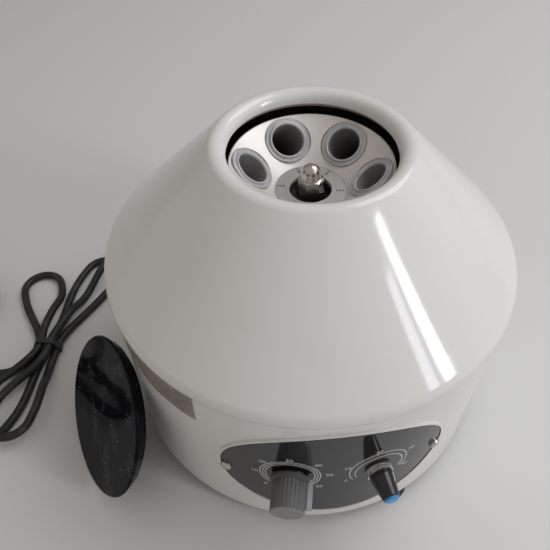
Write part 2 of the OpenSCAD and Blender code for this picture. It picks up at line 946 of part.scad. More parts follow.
rotor_hub_r = 15;
hub_low_z = bowl_z + 12;
boss_top_z = dish_z + 2;
recess_z = dish_z - 8;
thread_r = 4;
nut_h = 15;
module spindle() {
    color("silver")
        union() {
            translate([0, 0, motor_z + 4])
                cylinder(h = boss_top_z - motor_z - 4.2, r = spindle_r);
            translate([0, 0, boss_top_z - 1])
                cylinder(h = nut_h - 3, r = thread_r - 0.05);
        }
}

module rotor_hub() {
    boss_half = 7.2;
    seat_r = recess_r + 6.5;
    under_z = dish_z - dish_t;
    color([0.09, 0.09, 0.095])
        difference() {
            union() {
                rotate_extrude()
                    polygon([
                        [0, hub_low_z],
                        [rotor_hub_r, hub_low_z],
                        [rotor_hub_r, under_z - 11],
                        [seat_r, under_z - 8],
                        [seat_r, under_z],
                        [recess_r, under_z],
                        [recess_r, recess_z],
                        [0, recess_z]
                    ]);
                translate([-boss_half, -boss_half, recess_z - cut])
                    cube([2 * boss_half, 2 * boss_half, boss_top_z - recess_z + cut]);
            }
            translate([0, 0, hub_low_z - cut])
                cylinder(h = boss_top_z - hub_low_z + 2 * cut, r = spindle_r + 0.01);
        }
}

// Radius where the dish's flat middle turns into its cone.
dish_flat_r = ring_r + 0.6;
sleeve_z = dish_z + (sleeve_ring_r - dish_flat_r) * tan(dish_slope);
dish_rim_z = dish_z + (dish_r - dish_flat_r) * tan(dish_slope);

// The frame of one sleeve: its mouth is at the origin and its axis is +Z, up and inwards.
module at_sleeve(k) {
    around(rotor_turn + 60 * k, sleeve_ring_r)
        translate([0, 0, sleeve_z])
            rotate([-dish_slope, 0, 0])
                children();
}

module rotor_dish() {
    under_flat_r = dish_flat_r + dish_t * tan(dish_slope / 2);
    color("lightgray")
        difference() {
            rotate_extrude($fn = 144)
                polygon([
                    [recess_r, dish_z - dish_t],
                    [under_flat_r, dish_z - dish_t],
                    [dish_r, dish_rim_z - dish_t / cos(dish_slope)],
                    [dish_r, dish_rim_z - 0.5],
                    [dish_r - 0.6, dish_rim_z - 0.5],
                    [dish_flat_r, dish_z],
                    [dish_flat_r, dish_z - 0.6],
                    [ring_r + 0.1, dish_z - 0.6],
                    [ring_r + 0.1, dish_z - 0.4],
                    [recess_r, dish_z - 0.4]
                ]);
            for (k = [0 : 5])
                at_sleeve(k) {
                    translate([0, 0, -20])
                        cylinder(h = 40, r = sleeve_r + 0.3);
                    cylinder(h = 12, r = flange_r + 0.6);
                }
        }
}

module number_ring() {
    color("whitesmoke")
        translate([0, 0, dish_z - 0.4])
            difference() {
                cylinder(h = 0.5, r = ring_r);
                translate([0, 0, -cut])
                    cylinder(h = 3, r = recess_r + 0.2);
            }
}

module acorn_nut() {
    nut_r = 7.5;
    hex_h = 6.5;
    color("silver")
        difference() {
            translate([0, 0, boss_top_z])
                union() {
                    intersection() {
                        cylinder(h = hex_h, r = nut_r, $fn = 6);
                        rotate_extrude()
                            polygon([
                                [0, 0],
                                [nut_r - 0.7, 0],
                                [nut_r, 0.6],
                                [nut_r, hex_h - 0.9],
                                [nut_r - 1.3, hex_h],
                                [0, hex_h]
                            ]);
                    }
                    rotate_extrude()
                        polygon(concat(
                            [[0, hex_h - cut], [5.9, hex_h - cut], [5.9, hex_h + 0.6]],
                            arc(0, nut_h - 5.4, 5.4, 0, 90, 10)
                        ));
                }
            translate([0, 0, boss_top_z - cut])
                cylinder(h = nut_h - 2.5, r = thread_r, $fn = 48);
        }
}

// A closed-bottomed tube holder that hangs in the dish by its flange.
module sleeve(k) {
    bottom_round = 5;
    in_l = sleeve_l - 2;
    color([0.8, 0.82, 0.85])
        at_sleeve(k)
            rotate_extrude($fn = 72)
                polygon(concat(
                    [
                        [0, -in_l],
                        [sleeve_bore_r, -in_l],
                        [sleeve_bore_r, 1.2],
                        [sleeve_bore_r + 0.8, 2.4],
                        [sleeve_bore_r + 1.7, 2.4],
                        [sleeve_bore_r + 1.7, 1.7],
                        [flange_r - 0.4, 1.7],
                        [flange_r, 1.3],
                        [flange_r, 0],
                        [sleeve_r, 0]
                    ],
                    arc(sleeve_r - bottom_round, -sleeve_l + bottom_round, bottom_round, 0, -90, 5),
                    [[0, -sleeve_l]]
                ));
}

module sleeve_1() { sleeve(0); }
module sleeve_2() { sleeve(1); }
module sleeve_3() { sleeve(2); }
module sleeve_4() { sleeve(3); }
module sleeve_5() { sleeve(4); }
module sleeve_6() { sleeve(5); }

// The speed control's circuit board stands on four posts at the left of the motor.
board_size = [34, 62, 1.6];
board_at = [-94, 0];
board_z = plate_t + 8;
board_hole = [board_size[0] / 2 - 4, board_size[1] / 2 - 4];
module at_board_corners() {
    for (sx = [-1, 1])
        for (sy = [-1, 1])
            translate([board_at[0] + sx * board_hole[0], board_at[1] + sy * board_hole[1], 0])
                children();
}

module circuit_board() {
    color("darkgreen")
        difference() {
            translate([board_at[0], board_at[1], board_z])
                union() {
                    translate([-board_size[0] / 2, -board_size[1] / 2, 0])
                        cube(board_size);
                    translate([-6, -20, board_size[2]])
                        cube([12, 5, 16]);
                    translate([0, 12, board_size[2]])
                        cylinder(h = 14, r = 6, $fn = 48);
                    translate([-10, -6, board_size[2]])
                        cube([14, 10, 8]);
                }
            at_board_corners()
                translate([0, 0, board_z - cut])
                    cylinder(h = 4, r = 1.6, $fn = 24);
        }
}

module board_posts() {
    color("ivory")
        at_board_corners()
            union() {
                translate([0, 0, plate_t])
                    cylinder(h = board_z - plate_t, r = 3, $fn = 32);
                translate([0, 0, plate_t])
                    cylinder(h = board_z - plate_t + board_size[2] + 0.6, r = 1.5, $fn = 24);
            }
}

relief_turn = 188;
relief_z = 18;
relief_r = 6.5;
relief_l = 30;
fuse_turn = 165;
fuse_z = 30;
fuse_r = 6;
module fuse_holder() {
    color([0.1, 0.1, 0.1])
        around(fuse_turn, 0)
            forward(0, 0, fuse_z)
                translate([0, 0, wall_r(fuse_z) + 0.6])
                    rotate_extrude($fn = 48)
                        polygon([
                            [0, -24],
                            [fuse_r - 1, -24],
                            [fuse_r, -18],
                            [fuse_r, 0],
                            [fuse_r + 2.5, 0],
                            [fuse_r + 2.5, 2],
                            [fuse_r + 0.5, 2.4],
                            [fuse_r, 10],
                            [fuse_r - 1, 11],
                            [0, 11]
                        ]);
}

module strain_relief() {
    color([0.07, 0.07, 0.07])
        around(relief_turn, 0)
            forward(0, 0, relief_z)
                translate([0, 0, wall_r(relief_z) + 0.4])
                    rotate_extrude($fn = 48)
                        polygon([
                            [0, -10],
                            [relief_r + 2.5, -10],
                            [relief_r + 2.5, -6.6],
                            [relief_r, -6.6],
                            [relief_r, 0],
                            [relief_r + 2, 0],
                            [relief_r + 2, 2.5],
                            [relief_r - 0.6, 4],
                            [cord_d / 2 + 1.1, relief_l],
                            [0, relief_l]
                        ]);
}

// The lead is a round tube swept along a list of points. It never runs upright.
cord_r = cord_d / 2;
cord_z = table_z + cord_r + 0.02;
function unit(v) = v / norm(v);
function tangent(p, i) = unit(p[min(i + 1, len(p) - 1)] - p[max(i - 1, 0)]);
function tube_ring(p, i, r, n) =
    let (t = tangent(p, i), s = unit(cross(t, [0, 0, 1])), u = cross(s, t))
    [for (k = [0 : n - 1]) p[i] + r * (cos(360 * k / n) * s + sin(360 * k / n) * u)];

module tube(p, r, n) {
    last = len(p) - 1;
    polyhedron(
        points = [for (i = [0 : last]) each tube_ring(p, i, r, n)],
        faces = concat(
            [[for (k = [0 : n - 1]) k]],
            [for (i = [0 : last - 1]) for (k = [0 : n - 1])
                [i * n + k, (i + 1) * n + k, (i + 1) * n + (k + 1) % n]],
            [for (i = [0 : last - 1]) for (k = [0 : n - 1])
                [i * n + k, (i + 1) * n + (k + 1) % n, i * n + (k + 1) % n]],
            [[for (k = [n - 1 : -1 : 0]) last * n + k]]
        )
    );
}

// The hank lies on the table behind the left side. Its long direction is u, and v is to its right.
hank_at = [-211, 29];
hank_turn = 6;
hank_pitch = 3.8;
hank_rise = 7.3;
waist_lift = 1.3;
lean_start = 12;
top_fold_r = 16.25;
low_fold_r = 16.25;
top_right_l = 84;
petal_l = 66;
exit_bend_r = 26;

// A smooth step from 0 to 1.
function soft(t) = t <= 0 ? 0 : t >= 1 ? 1 : t * t * t * (t * (6 * t - 15) + 10);
// Place of each of the five strands across the waist, numbered from the left.
function slot(s) = (s - 3) * hank_pitch;
// Middle line of a leaning loop, and the slope of that line.
function lean(u, k) = k * (sqrt(u * u + lean_start * lean_start) - lean_start);
function lean_slope(u, k) = k * u / sqrt(u * u + lean_start * lean_start);
// A point beside that line, at a distance v to its right.
function beside(u, v, k) =
    let (s = lean_slope(u, k), n = sqrt(1 + s * s))
    [u - v * s / n, lean(u, k) + v / n];
// The second and fourth strands cross the waist on top of the others.
function strand_rise(s, u, from, to) =
    s % 2 == 0 ? hank_rise * (1 - soft((abs(u) - from) / (to - from))) : 0;

function leg(s, target, l, k, side, from, to, fold_rise) =
    [for (i = [0 : 9])
        let (u = l * i / 9, q = beside(u, slot(s) + (target - slot(s)) * soft(u / l), k))
        [side * q[0], q[1], max(strand_rise(s, u, from, to), fold_rise * soft((u - 12) / 34))]];

function fold(l, k, side, way, r, fold_rise) =
    let (s = lean_slope(l, k), n = sqrt(1 + s * s), t = [1, s] / n, w = [-s, 1] / n)
    [for (i = [1 : 5])
        let (a = 30 * i, q = [l, lean(l, k)] + r * (sin(a) * t + way * cos(a) * w))
        [side * q[0], q[1], fold_rise]];

function rev(p) = [for (i = [len(p) - 1 : -1 : 0]) p[i]];
function tail(p) = [for (i = [1 : len(p) - 1]) p[i]];

// One loop: out along strand a, round its fold and back along strand b.
function loop(a, b, side, l, k, r, from, to, fold_rise) =
    let (way = a > b ? 1 : -1)
    concat(
        leg(a, way * r, l, k, side, from, to, fold_rise),
        fold(l, k, side, way, r, fold_rise),
        rev(leg(b, -way * r, l, k, side, from, to, fold_rise))
    );

top_right_k = tan(22);
entry_u = [160, 150, 138, 127, 116, 106, 96, 86, 76, 66, 56, 46, 37, 28, 20, 13, 6];
// The entering strand passes over the upper right loop in a long low hump.
entry = [for (u = entry_u)
    let (q = beside(u, slot(4) * (1 - soft(u / 80)), top_right_k))
    [q[0], q[1], max(7.8 * (1 - soft((abs(u - top_right_l - top_fold_r) - 6) / 42)),
        strand_rise(4, u, 28, 60))]];
leaving = [for (a = [15 : 15 : 90])
    [2 - exit_bend_r * sin(a), slot(1) - exit_bend_r * (1 - cos(a)), 0]];

hank_uvz = concat(
    entry,
    loop(4, 5, -1, petal_l, tan(-10), low_fold_r, 90, 99, hank_rise),
    tail(loop(5, 3, 1, top_right_l, top_right_k, top_fold_r, 28, 60, 0)),
    tail(loop(3, 2, -1, petal_l, tan(-28), low_fold_r, 36, 64, 0)),
    tail(loop(2, 1, 1, petal_l, tan(-22), top_fold_r, 28, 60, 0)),
    leaving,
    [[2 - exit_bend_r, slot(1) - exit_bend_r - 8, 0]]
);
function from_hank(q) = [
    hank_at[0] + q[0] * sin(hank_turn) + q[1] * cos(hank_turn),
    hank_at[1] + q[0] * cos(hank_turn) - q[1] * sin(hank_turn),
    cord_z + q[2] + waist_lift * (1 - soft((abs(q[0]) - 8) / 30))
];
hank_path = [for (q = hank_uvz) from_hank(q)];
hank_end = len(hank_path) - 1;

relief_out_r = wall_r(relief_z) + 0.4 + relief_l;
relief_way = [sin(relief_turn), -cos(relief_turn), 0];
relief_end = relief_out_r * relief_way + [0, 0, relief_z];
// Route behind the housing, from the strain relief down to the table and on to the hank.
cord_path = concat(
    [relief_end, relief_end + cord_d * relief_way],
    [
        [-27, 180, 14],
        [-34, 191, 8],
        [-44, 201, 1],
        [-57, 208, -3.6],
        [-72, 211, cord_z],
        [-88, 211, cord_z],
        [-100, 209.5, cord_z],
        [-112, 204.5, cord_z],
        [-122, 197, cord_z]
    ],
    [
        hank_path[0] - cord_d * 1.1 * tangent(hank_path, 0),
        hank_path[0]
    ]
);

// Route from the hank to the plug, which lies outside the hank's left side.
plug_at = [-285, 62];
plug_axis_z = table_z + 11;
plug_path = concat(
    [
        hank_path[hank_end],
        hank_path[hank_end] + cord_d * tangent(hank_path, hank_end)
    ],
    [
        [-268, 13, cord_z + 0.4],
        [-276, 19, cord_z + 2.2],
        [-282, 28, cord_z + 4.8],
        [-284.6, 37, plug_axis_z - 0.4]
    ],
    [
        [plug_at[0], plug_at[1] - 22 - cord_d, plug_axis_z],
        [plug_at[0], plug_at[1] - 22, plug_axis_z]
    ]
);

module power_cord() {
    color([0.07, 0.07, 0.07])
        tube(cord_path, cord_r, 10);
}

module cord_hank() {
    color([0.07, 0.07, 0.07])
        tube(hank_path, cord_r, 8);
}

module plug_lead() {
    color([0.07, 0.07, 0.07])
        tube(plug_path, cord_r, 10);
}

// A flat strap round the waist of the hank.
module waist_outline(grow) {
    hull()
        for (s = [1 : 5])
            translate([slot(s), cord_z + waist_lift + (s % 2 == 0 ? hank_rise : 0)])
                circle(r = cord_r + grow, $fn = 24);
}

module cord_tie() {
    tie_w = 5;
    color([0.1, 0.1, 0.1])
        translate([hank_at[0], hank_at[1], 0])
            rotate([90, 0, -hank_turn])
                translate([0, 0, -tie_w / 2])
                    linear_extrude(tie_w)
                        difference() {
                            waist_outline(1.2);
                            waist_outline(0.35);
                        }
}

// The flat pins of the plug, grown by a margin where they sit in it.
plug_body_l = 38;
pin_l = 18;
pin_sunk = 6;
module pins(grow) {
    for (p = [[-6.4, -3, 28], [6.4, -3, -28], [0, 6, 90]])
        translate([plug_at[0] + p[0], plug_at[1] + plug_body_l - pin_sunk - grow, plug_axis_z + p[1]])
            rotate([-90, 0, 0])
                rotate([0, 0, p[2]])
                    translate([-0.75 - grow, -3.1 - grow, 0])
                        cube([1.5 + 2 * grow, 6.2 + 2 * grow, pin_l + pin_sunk]);
}

module plug() {
    half_w = 17;
    half_t = 11;
    color([0.07, 0.07, 0.07])
        difference() {
            translate([plug_at[0], plug_at[1], plug_axis_z])
                union() {
                    intersection() {
                        translate([0, plug_body_l, 0])
                            rotate([90, 0, 0])
                                cylinder(h = plug_body_l, r = 20);
                        translate([-half_w, 0, -half_t])
                            cube([2 * half_w, plug_body_l, 2 * half_t]);
                        translate([0, 30, -20])
                            cylinder(h = 40, r = 30);
                    }
                    translate([0, 8, 0])
                        rotate([90, 0, 0])
                            cylinder(h = 30, r1 = 9.5, r2 = cord_r + 1, $fn = 48);
                }
            pins(0.05);
        }
}

module plug_pins() {
    color("gold")
        pins(0);
}

// The lid stands on its lower edge and its plug leans on the housing with a hair of air between.
lid_edge = 1.5;
lid_all_t = lid_head_t + lid_plug_h;
lid_face_z = table_z + lid_r * cos(lid_tilt) + lid_edge * sin(lid_tilt);
lid_top_z = lid_face_z + lid_plug_r * cos(lid_tilt) - lid_all_t * sin(lid_tilt);
lid_out = wall_r(lid_top_z) + 0.3 + lid_plug_r * sin(lid_tilt) + lid_all_t * cos(lid_tilt);

module lid() {
    recess_in_r = lid_plug_r - 2.6;
    color([0.05, 0.05, 0.055])
        around(lid_turn, lid_out)
            translate([0, 0, lid_face_z])
                rotate([90 - lid_tilt, 0, 0])
                    rotate_extrude($fn = 144)
                        polygon(concat(
                            [[0, 0]],
                            arc(lid_r - lid_edge, -lid_edge, lid_edge, 90, 0, 6),
                            [
                                [lid_under_r, -lid_head_t],
                                [lid_plug_r, -lid_head_t],
                                [lid_plug_r, -lid_all_t + 0.6],
                                [lid_plug_r - 0.6, -lid_all_t],
                                [recess_in_r, -lid_all_t],
                                [recess_in_r - 0.5, -lid_all_t + 3],
                                [0, -lid_all_t + 3]
                            ]
                        ));
}

base_plate();
feet();
foot_screws();
base_screws();
lower_body();
top_cover();
cover_screws();
edge_tape();
control_panel();
panel_screws();
timer_body();
timer_nut();
timer_shaft();
timer_knob();
timer_knob_skirt();
speed_control();
speed_nut();
speed_shaft();
speed_knob();
speed_knob_ring();
speed_knob_cap();
chamber_bowl();
chamber_hood();
motor_plate();
plate_posts();
dampers();
plate_screws();
motor_can();
motor_lower_bell();
motor_upper_bell();
motor_stator();
motor_armature();
brush_holders();
upper_bearing();
lower_bearing();
spindle();
rotor_hub();
rotor_dish();
number_ring();
acorn_nut();
sleeve_1();
sleeve_2();
sleeve_3();
sleeve_4();
sleeve_5();
sleeve_6();
circuit_board();
board_posts();
fuse_holder();
strain_relief();
power_cord();
cord_hank();
plug_lead();
cord_tie();
plug();
plug_pins();
lid();
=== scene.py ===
# %% [markdown]
# # A six-place bench centrifuge, dressed around its CAD frame
#
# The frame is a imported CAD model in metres. Its origin is the centre of the base plate's
# underside, +Z is up and the dial panel faces -Y. The table lies one foot height below.
# CAD nodes with the right shape keep it and get a material. New pieces are made where the
# real surface is finer than the solid: the cone cover, the panel plate with its numbers and
# collars, the speed knob's pointer, the tube sleeves, the ring's numbers and the mains lead.

# %% Load the frame
import math

import bpy
from mathutils import Matrix, Vector


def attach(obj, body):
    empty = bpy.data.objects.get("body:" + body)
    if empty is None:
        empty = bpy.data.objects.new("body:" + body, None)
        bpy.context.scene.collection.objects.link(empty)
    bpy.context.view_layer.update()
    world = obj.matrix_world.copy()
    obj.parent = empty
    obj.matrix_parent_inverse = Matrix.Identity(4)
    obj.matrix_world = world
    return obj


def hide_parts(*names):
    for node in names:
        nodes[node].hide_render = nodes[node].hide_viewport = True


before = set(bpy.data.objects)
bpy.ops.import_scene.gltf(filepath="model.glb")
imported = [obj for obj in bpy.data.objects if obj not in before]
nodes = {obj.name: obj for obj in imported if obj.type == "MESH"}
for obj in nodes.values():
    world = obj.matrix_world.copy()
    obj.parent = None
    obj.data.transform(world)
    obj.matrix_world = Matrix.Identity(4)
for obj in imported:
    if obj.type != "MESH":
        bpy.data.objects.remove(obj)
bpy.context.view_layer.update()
MM = 0.001
FOOT_H = 8
TABLE_Z = -FOOT_H * MM
print("CAD nodes:", len(nodes))


# %% [markdown]
# The camera stands where the photographer's did: in front of the panel, a little to its
# left, looking steeply down. Its place came from fitting the housing's circles, the panel's
# outline and the rotor's circles to the photograph, so the pieces need no further fitting.
# The focal length came out of the same fit, in pixels of a frame 550 pixels wide.

# %% Camera
def new_object(name, data):
    """An object for data that is made in code, linked to the scene."""
    thing = bpy.data.objects.new(name, data)
    bpy.context.scene.collection.objects.link(thing)
    return thing


CAMERA_AT = Vector((-44.8, -253.8, 388.6)) * MM
PITCH, HEADING, ROLL = math.radians(48.84), math.radians(5.14), math.radians(-1.11)
FOCAL_PX, FRAME_PX, SENSOR = 563.07, 550, 36
forward = Vector((math.sin(HEADING) * math.cos(PITCH),
                  math.cos(HEADING) * math.cos(PITCH),
                  -math.sin(PITCH)))
level_right = Vector((math.cos(HEADING), -math.sin(HEADING), 0))
level_up = level_right.cross(forward)
right = level_right * math.cos(ROLL) + level_up * math.sin(ROLL)
up = -level_right * math.sin(ROLL) + level_up * math.cos(ROLL)
camera_data = bpy.data.cameras.new("camera")
camera_data.sensor_width = SENSOR
camera_data.lens = FOCAL_PX / FRAME_PX * SENSOR
camera_data.clip_start = 0.01
camera = new_object("camera", camera_data)
camera.matrix_world = Matrix((
    (right.x, up.x, -forward.x, CAMERA_AT.x),
    (right.y, up.y, -forward.y, CAMERA_AT.y),
    (right.z, up.z, -forward.z, CAMERA_AT.z),
    (0, 0, 0, 1)))
bpy.context.scene.camera = camera
bpy.context.scene.view_settings.view_transform = "Standard"
print("camera at", tuple(round(v, 4) for v in CAMERA_AT), "lens", round(camera_data.lens, 2))


# %% [markdown]
# Materials are node trees. Writing their maths as Python expressions keeps them readable:
# a small class wraps a socket, and each operator adds one Math node. Only what changes over
# a surface is linked; a value that is the same everywhere is set on the shader's own socket.

# %% A socket that can be calculated with
def give(tree, socket, value):
    """Links a socket to another node's output, or sets its own value."""
    if isinstance(value, Sock):
        tree.links.new(value.out, socket)
    else:
        socket.default_value = value


class Sock:
    """A node's output socket with arithmetic."""

    def __init__(self, tree, out):
        self.tree, self.out = tree, out

    def maths(self, operation, *values, clamp=False):
        node = self.tree.nodes.new("ShaderNodeMath")
        node.operation = operation
        node.use_clamp = clamp
        for socket, value in zip(node.inputs, values):
            give(self.tree, socket, value)
        return Sock(self.tree, node.outputs[0])

    def __add__(self, other):
        return self.maths("ADD", self, other)

    def __radd__(self, other):
        return self.maths("ADD", other, self)

    def __sub__(self, other):
        return self.maths("SUBTRACT", self, other)

    def __rsub__(self, other):
        return self.maths("SUBTRACT", other, self)

    def __mul__(self, other):
        return self.maths("MULTIPLY", self, other)

    def __rmul__(self, other):
        return self.maths("MULTIPLY", other, self)

    def absolute(self):
        return self.maths("ABSOLUTE", self)

    def above(self, edge, soft):
        """0 below edge, 1 above edge + soft."""
        return self.maths("MULTIPLY", self - edge, 1 / soft, clamp=True)

    def below(self, edge, soft):
        """1 below edge - soft, 0 above edge."""
        return 1 - self.above(edge - soft, soft)


# %% [markdown]
# A finish on the real machine is one base, plastic, metal or paint, with small changes of
# colour, gloss and relief laid over it. So one class makes the Principled shader, and each
# of its methods adds one kind of node, which keeps every recipe below a few lines long.

# %% One finish
MIX_FACTOR, MIX_FIRST, MIX_SECOND, MIX_COLOUR_OUT = 0, 6, 7, 2


class Finish:
    """One procedural material: a Principled shader and whatever feeds it."""

    def __init__(self, name, colour, roughness, **fixed):
        self.material = bpy.data.materials.new(name)
        self.material.use_nodes = True
        self.tree = self.material.node_tree
        self.shader = self.tree.nodes["Principled BSDF"]
        self.shader.inputs["Base Color"].default_value = (*colour, 1)
        self.shader.inputs["Roughness"].default_value = roughness
        for socket, value in fixed.items():
            self.shader.inputs[socket.replace("_", " ")].default_value = value

    def node(self, kind, settings=None, output=0, **inputs):
        """Adds a node: settings first, then its sockets, by name or as i0, i1 by number."""
        node = self.tree.nodes.new("ShaderNode" + kind)
        for key, value in (settings or {}).items():
            setattr(node, key, value)
        for key, value in inputs.items():
            numbered = key[0] == "i" and key[1:].isdigit()
            give(self.tree, node.inputs[int(key[1:]) if numbered else key], value)
        return Sock(self.tree, node.outputs[output])

    def place(self, at=(0, 0, 0), turn=(0, 0, 0), scale=(1, 1, 1)):
        """Object coordinates, centred on a point of the piece and turned."""
        where = self.node("TexCoord", output="Object")
        moved = self.node("VectorMath", {"operation": "SUBTRACT"}, i0=where, i1=at)
        return self.node("Mapping", {"vector_type": "POINT"},
                         Vector=moved, Rotation=turn, Scale=scale)

    def parts(self, vector):
        """The three numbers of a vector."""
        node = self.tree.nodes.new("ShaderNodeSeparateXYZ")
        self.tree.links.new(vector.out, node.inputs[0])
        return [Sock(self.tree, out) for out in node.outputs]

    def noise(self, vector, scale, detail):
        return self.node("TexNoise", Vector=vector, Scale=scale, Detail=detail)

    def radius(self, x, y):
        """Distance from an axis, from two coordinates across it."""
        return self.node("Math", {"operation": "SQRT"}, i0=x * x + y * y)

    def mix(self, factor, first, second):
        """A colour between two colours."""
        node = self.tree.nodes.new("ShaderNodeMix")
        node.data_type = "RGBA"
        for number, value in ((MIX_FACTOR, factor), (MIX_FIRST, first), (MIX_SECOND, second)):
            give(self.tree, node.inputs[number], (*value, 1) if isinstance(value, tuple) else value)
        return Sock(self.tree, node.outputs[MIX_COLOUR_OUT])

    def feed(self, socket, value):
        self.tree.links.new(value.out, self.shader.inputs[socket])

    def bump(self, height, distance, strength):
        """Relief: height runs from 0 to 1, and distance is its depth in metres."""
        out = self.node("Bump", Strength=strength, Distance=distance, Height=height)
        self.feed("Normal", out)


def toned(colour, factor):
    """A colour made darker or lighter."""
    return tuple(min(1, c * factor) for c in colour)


# %% [markdown]
# The shells are one glossy white moulding. Real gloss plastic is never a perfect mirror: a
# faint orange peel bends its reflections, and handling leaves patches that are a little
# duller. Both come from slow noise on Object coordinates, so they stay put on the part.

# %% Glossy plastics
def glossy_shell():
    f = Finish("white_shell", (0.72, 0.71, 0.695), 0.12)
    where = f.place()
    smudge = f.noise(where, 22, 4)
    fine = f.noise(where, 900, 2)
    f.feed("Roughness", 0.07 + 0.10 * smudge.above(0.45, 0.3) + 0.03 * fine)
    f.feed("Base Color", f.mix(smudge.above(0.45, 0.4), (0.73, 0.72, 0.705), (0.70, 0.69, 0.67)))
    f.bump(f.noise(where, 160, 2) * 0.7 + f.noise(where, 38, 1), 0.00006, 0.5)
    return f.material


def gloss_black(name, colour, base, dust, level=0.5):
    """Black gloss plastic with hairline scratches, dust and rubbed patches."""
    f = Finish(name, colour, base, Specular_IOR_Level=level)
    where = f.place()
    rubbed = f.noise(where, 45, 5)
    hair = f.node("TexWave", {"wave_type": "BANDS", "bands_direction": "DIAGONAL"},
                  Vector=where, Scale=160, Distortion=14, Detail=3)
    scratches = hair.above(0.97, 0.02) * f.noise(where, 60, 2).above(0.53, 0.08)
    specks = f.noise(where, 1500, 1).above(0.73, 0.03)
    f.feed("Roughness", base + 0.16 * rubbed.above(0.5, 0.2) + 0.25 * scratches)
    f.feed("Base Color", f.mix((scratches + specks) * dust, colour, (0.35, 0.35, 0.36)))
    f.bump(f.noise(where, 220, 2) - scratches * 0.4, 0.00003, 0.4)
    return f.material


WHITE_SHELL = glossy_shell()
LID_BLACK = gloss_black("lid_black", (0.005, 0.005, 0.007), 0.06, 0.5, 0.05)
KNOB_BLACK = gloss_black("knob_black", (0.014, 0.014, 0.016), 0.2, 0.2)
print("gloss plastics:", [m.name for m in (WHITE_SHELL, LID_BLACK, KNOB_BLACK)])


# %% [markdown]
# Small mouldings come out of the tool with a satin grain, and rubber with a dull skin that
# holds pale dust. A photograph of grain could be wrapped round them, but noise at the
# grain's real size needs no image and has no seam.

# %% Satin plastics and rubber
def plain_plastic(name, colour, roughness, grain=700, depth=0.00003):
    """Satin moulded plastic: fine grain in the relief and a little colour drift."""
    f = Finish(name, colour, roughness)
    where = f.place()
    drift = f.noise(where, 60, 3)
    grains = f.noise(where, grain, 2)
    f.feed("Base Color", f.mix(drift, toned(colour, 0.9), toned(colour, 1.1)))
    f.feed("Roughness", roughness - 0.06 + 0.14 * grains)
    f.bump(grains, depth, 0.6)
    return f.material


def rubber(name, colour=(0.02, 0.02, 0.021), roughness=0.62):
    """Rubber: a dull skin with pale dust in its grain."""
    f = Finish(name, colour, roughness, Specular_IOR_Level=0.35)
    where = f.place()
    grains = f.noise(where, 1100, 3)
    dust = f.noise(where, 90, 4).above(0.52, 0.25)
    f.feed("Base Color", f.mix(dust * 0.12, colour, (0.3, 0.29, 0.28)))
    f.feed("Roughness", roughness - 0.1 + 0.2 * grains)
    f.bump(grains, 0.00004, 0.5)
    return f.material


RUBBER = rubber("foot_rubber")
CORD_BLACK = rubber("cord_sheath", (0.018, 0.018, 0.019), 0.42)
TIE_BLACK = plain_plastic("tie_plastic", (0.02, 0.02, 0.022), 0.5, 1600)
PLUG_BLACK = plain_plastic("plug_plastic", (0.022, 0.022, 0.024), 0.48, 1300, 0.00005)
CAP_BLUE = plain_plastic("cap_blue", (0.015, 0.27, 0.62), 0.3, 900)
NYLON = plain_plastic("post_nylon", (0.75, 0.74, 0.7), 0.4)
PHENOLIC = plain_plastic("moulded_phenolic", (0.28, 0.17, 0.08), 0.45)
BOARD_GREEN = plain_plastic("board_green", (0.03, 0.16, 0.06), 0.35)
print("materials so far:", len(bpy.data.materials))


# %% [markdown]
# Metals show how they were made. A spun dish keeps fine rings round its axis, a rolled sheet
# keeps straight lines, and a casting keeps a coarse skin. Each is a pattern of rings, lines
# or grains in the roughness and in a very shallow relief, over a metallic base.

# %% Metals and paint
def spun_metal(name, colour, roughness, rings, metal=1.0):
    """Metal turned about the rotor's axis: fine rings of changing gloss."""
    f = Finish(name, colour, roughness, Metallic=metal)
    where = f.place()
    x, y, _ = f.parts(where)
    radius = f.radius(x, y)
    line = f.node("TexNoise", {"noise_dimensions": "1D"}, W=radius * rings, Detail=2.0)
    cloud = f.noise(where, 50, 3)
    f.feed("Roughness", roughness - 0.08 + 0.14 * line + 0.08 * cloud)
    f.feed("Base Color", f.mix(cloud, toned(colour, 0.93), colour))
    f.bump(line, 0.00002, 0.35)
    return f.material


def rolled_metal(name, colour, roughness, scale=(1, 1, 60)):
    """Rolled or ground metal: straight hairlines and slightly dull patches."""
    f = Finish(name, colour, roughness, Metallic=1.0)
    lines = f.noise(f.place(scale=scale), 90, 3)
    cloud = f.noise(f.place(), 70, 3)
    f.feed("Roughness", roughness - 0.06 + 0.16 * lines + 0.06 * cloud)
    f.feed("Base Color", f.mix(cloud, toned(colour, 0.85), colour))
    f.bump(lines, 0.00002, 0.3)
    return f.material


def polished_metal(name, colour=(0.82, 0.81, 0.79), roughness=0.07):
    """Plated metal, bright, with a few dull specks and wiped marks."""
    f = Finish(name, colour, roughness, Metallic=1.0)
    where = f.place()
    marks = f.noise(where, 350, 4).above(0.55, 0.2)
    f.feed("Roughness", roughness + 0.22 * marks)
    f.feed("Base Color", f.mix(marks, colour, toned(colour, 0.8)))
    f.bump(f.noise(where, 500, 2), 0.00001, 0.3)
    return f.material


def paint(name, colour, roughness, peel=500, metal=0.0):
    """A sprayed or cast skin: orange peel and a slow change of gloss."""
    f = Finish(name, colour, roughness, Metallic=metal)
    where = f.place()
    skin = f.noise(where, peel, 2)
    cloud = f.noise(where, 40, 3)
    f.feed("Roughness", roughness - 0.06 + 0.12 * cloud)
    f.feed("Base Color", f.mix(cloud, toned(colour, 0.88), colour))
    f.bump(skin, 0.00006, 0.5)
    return f.material


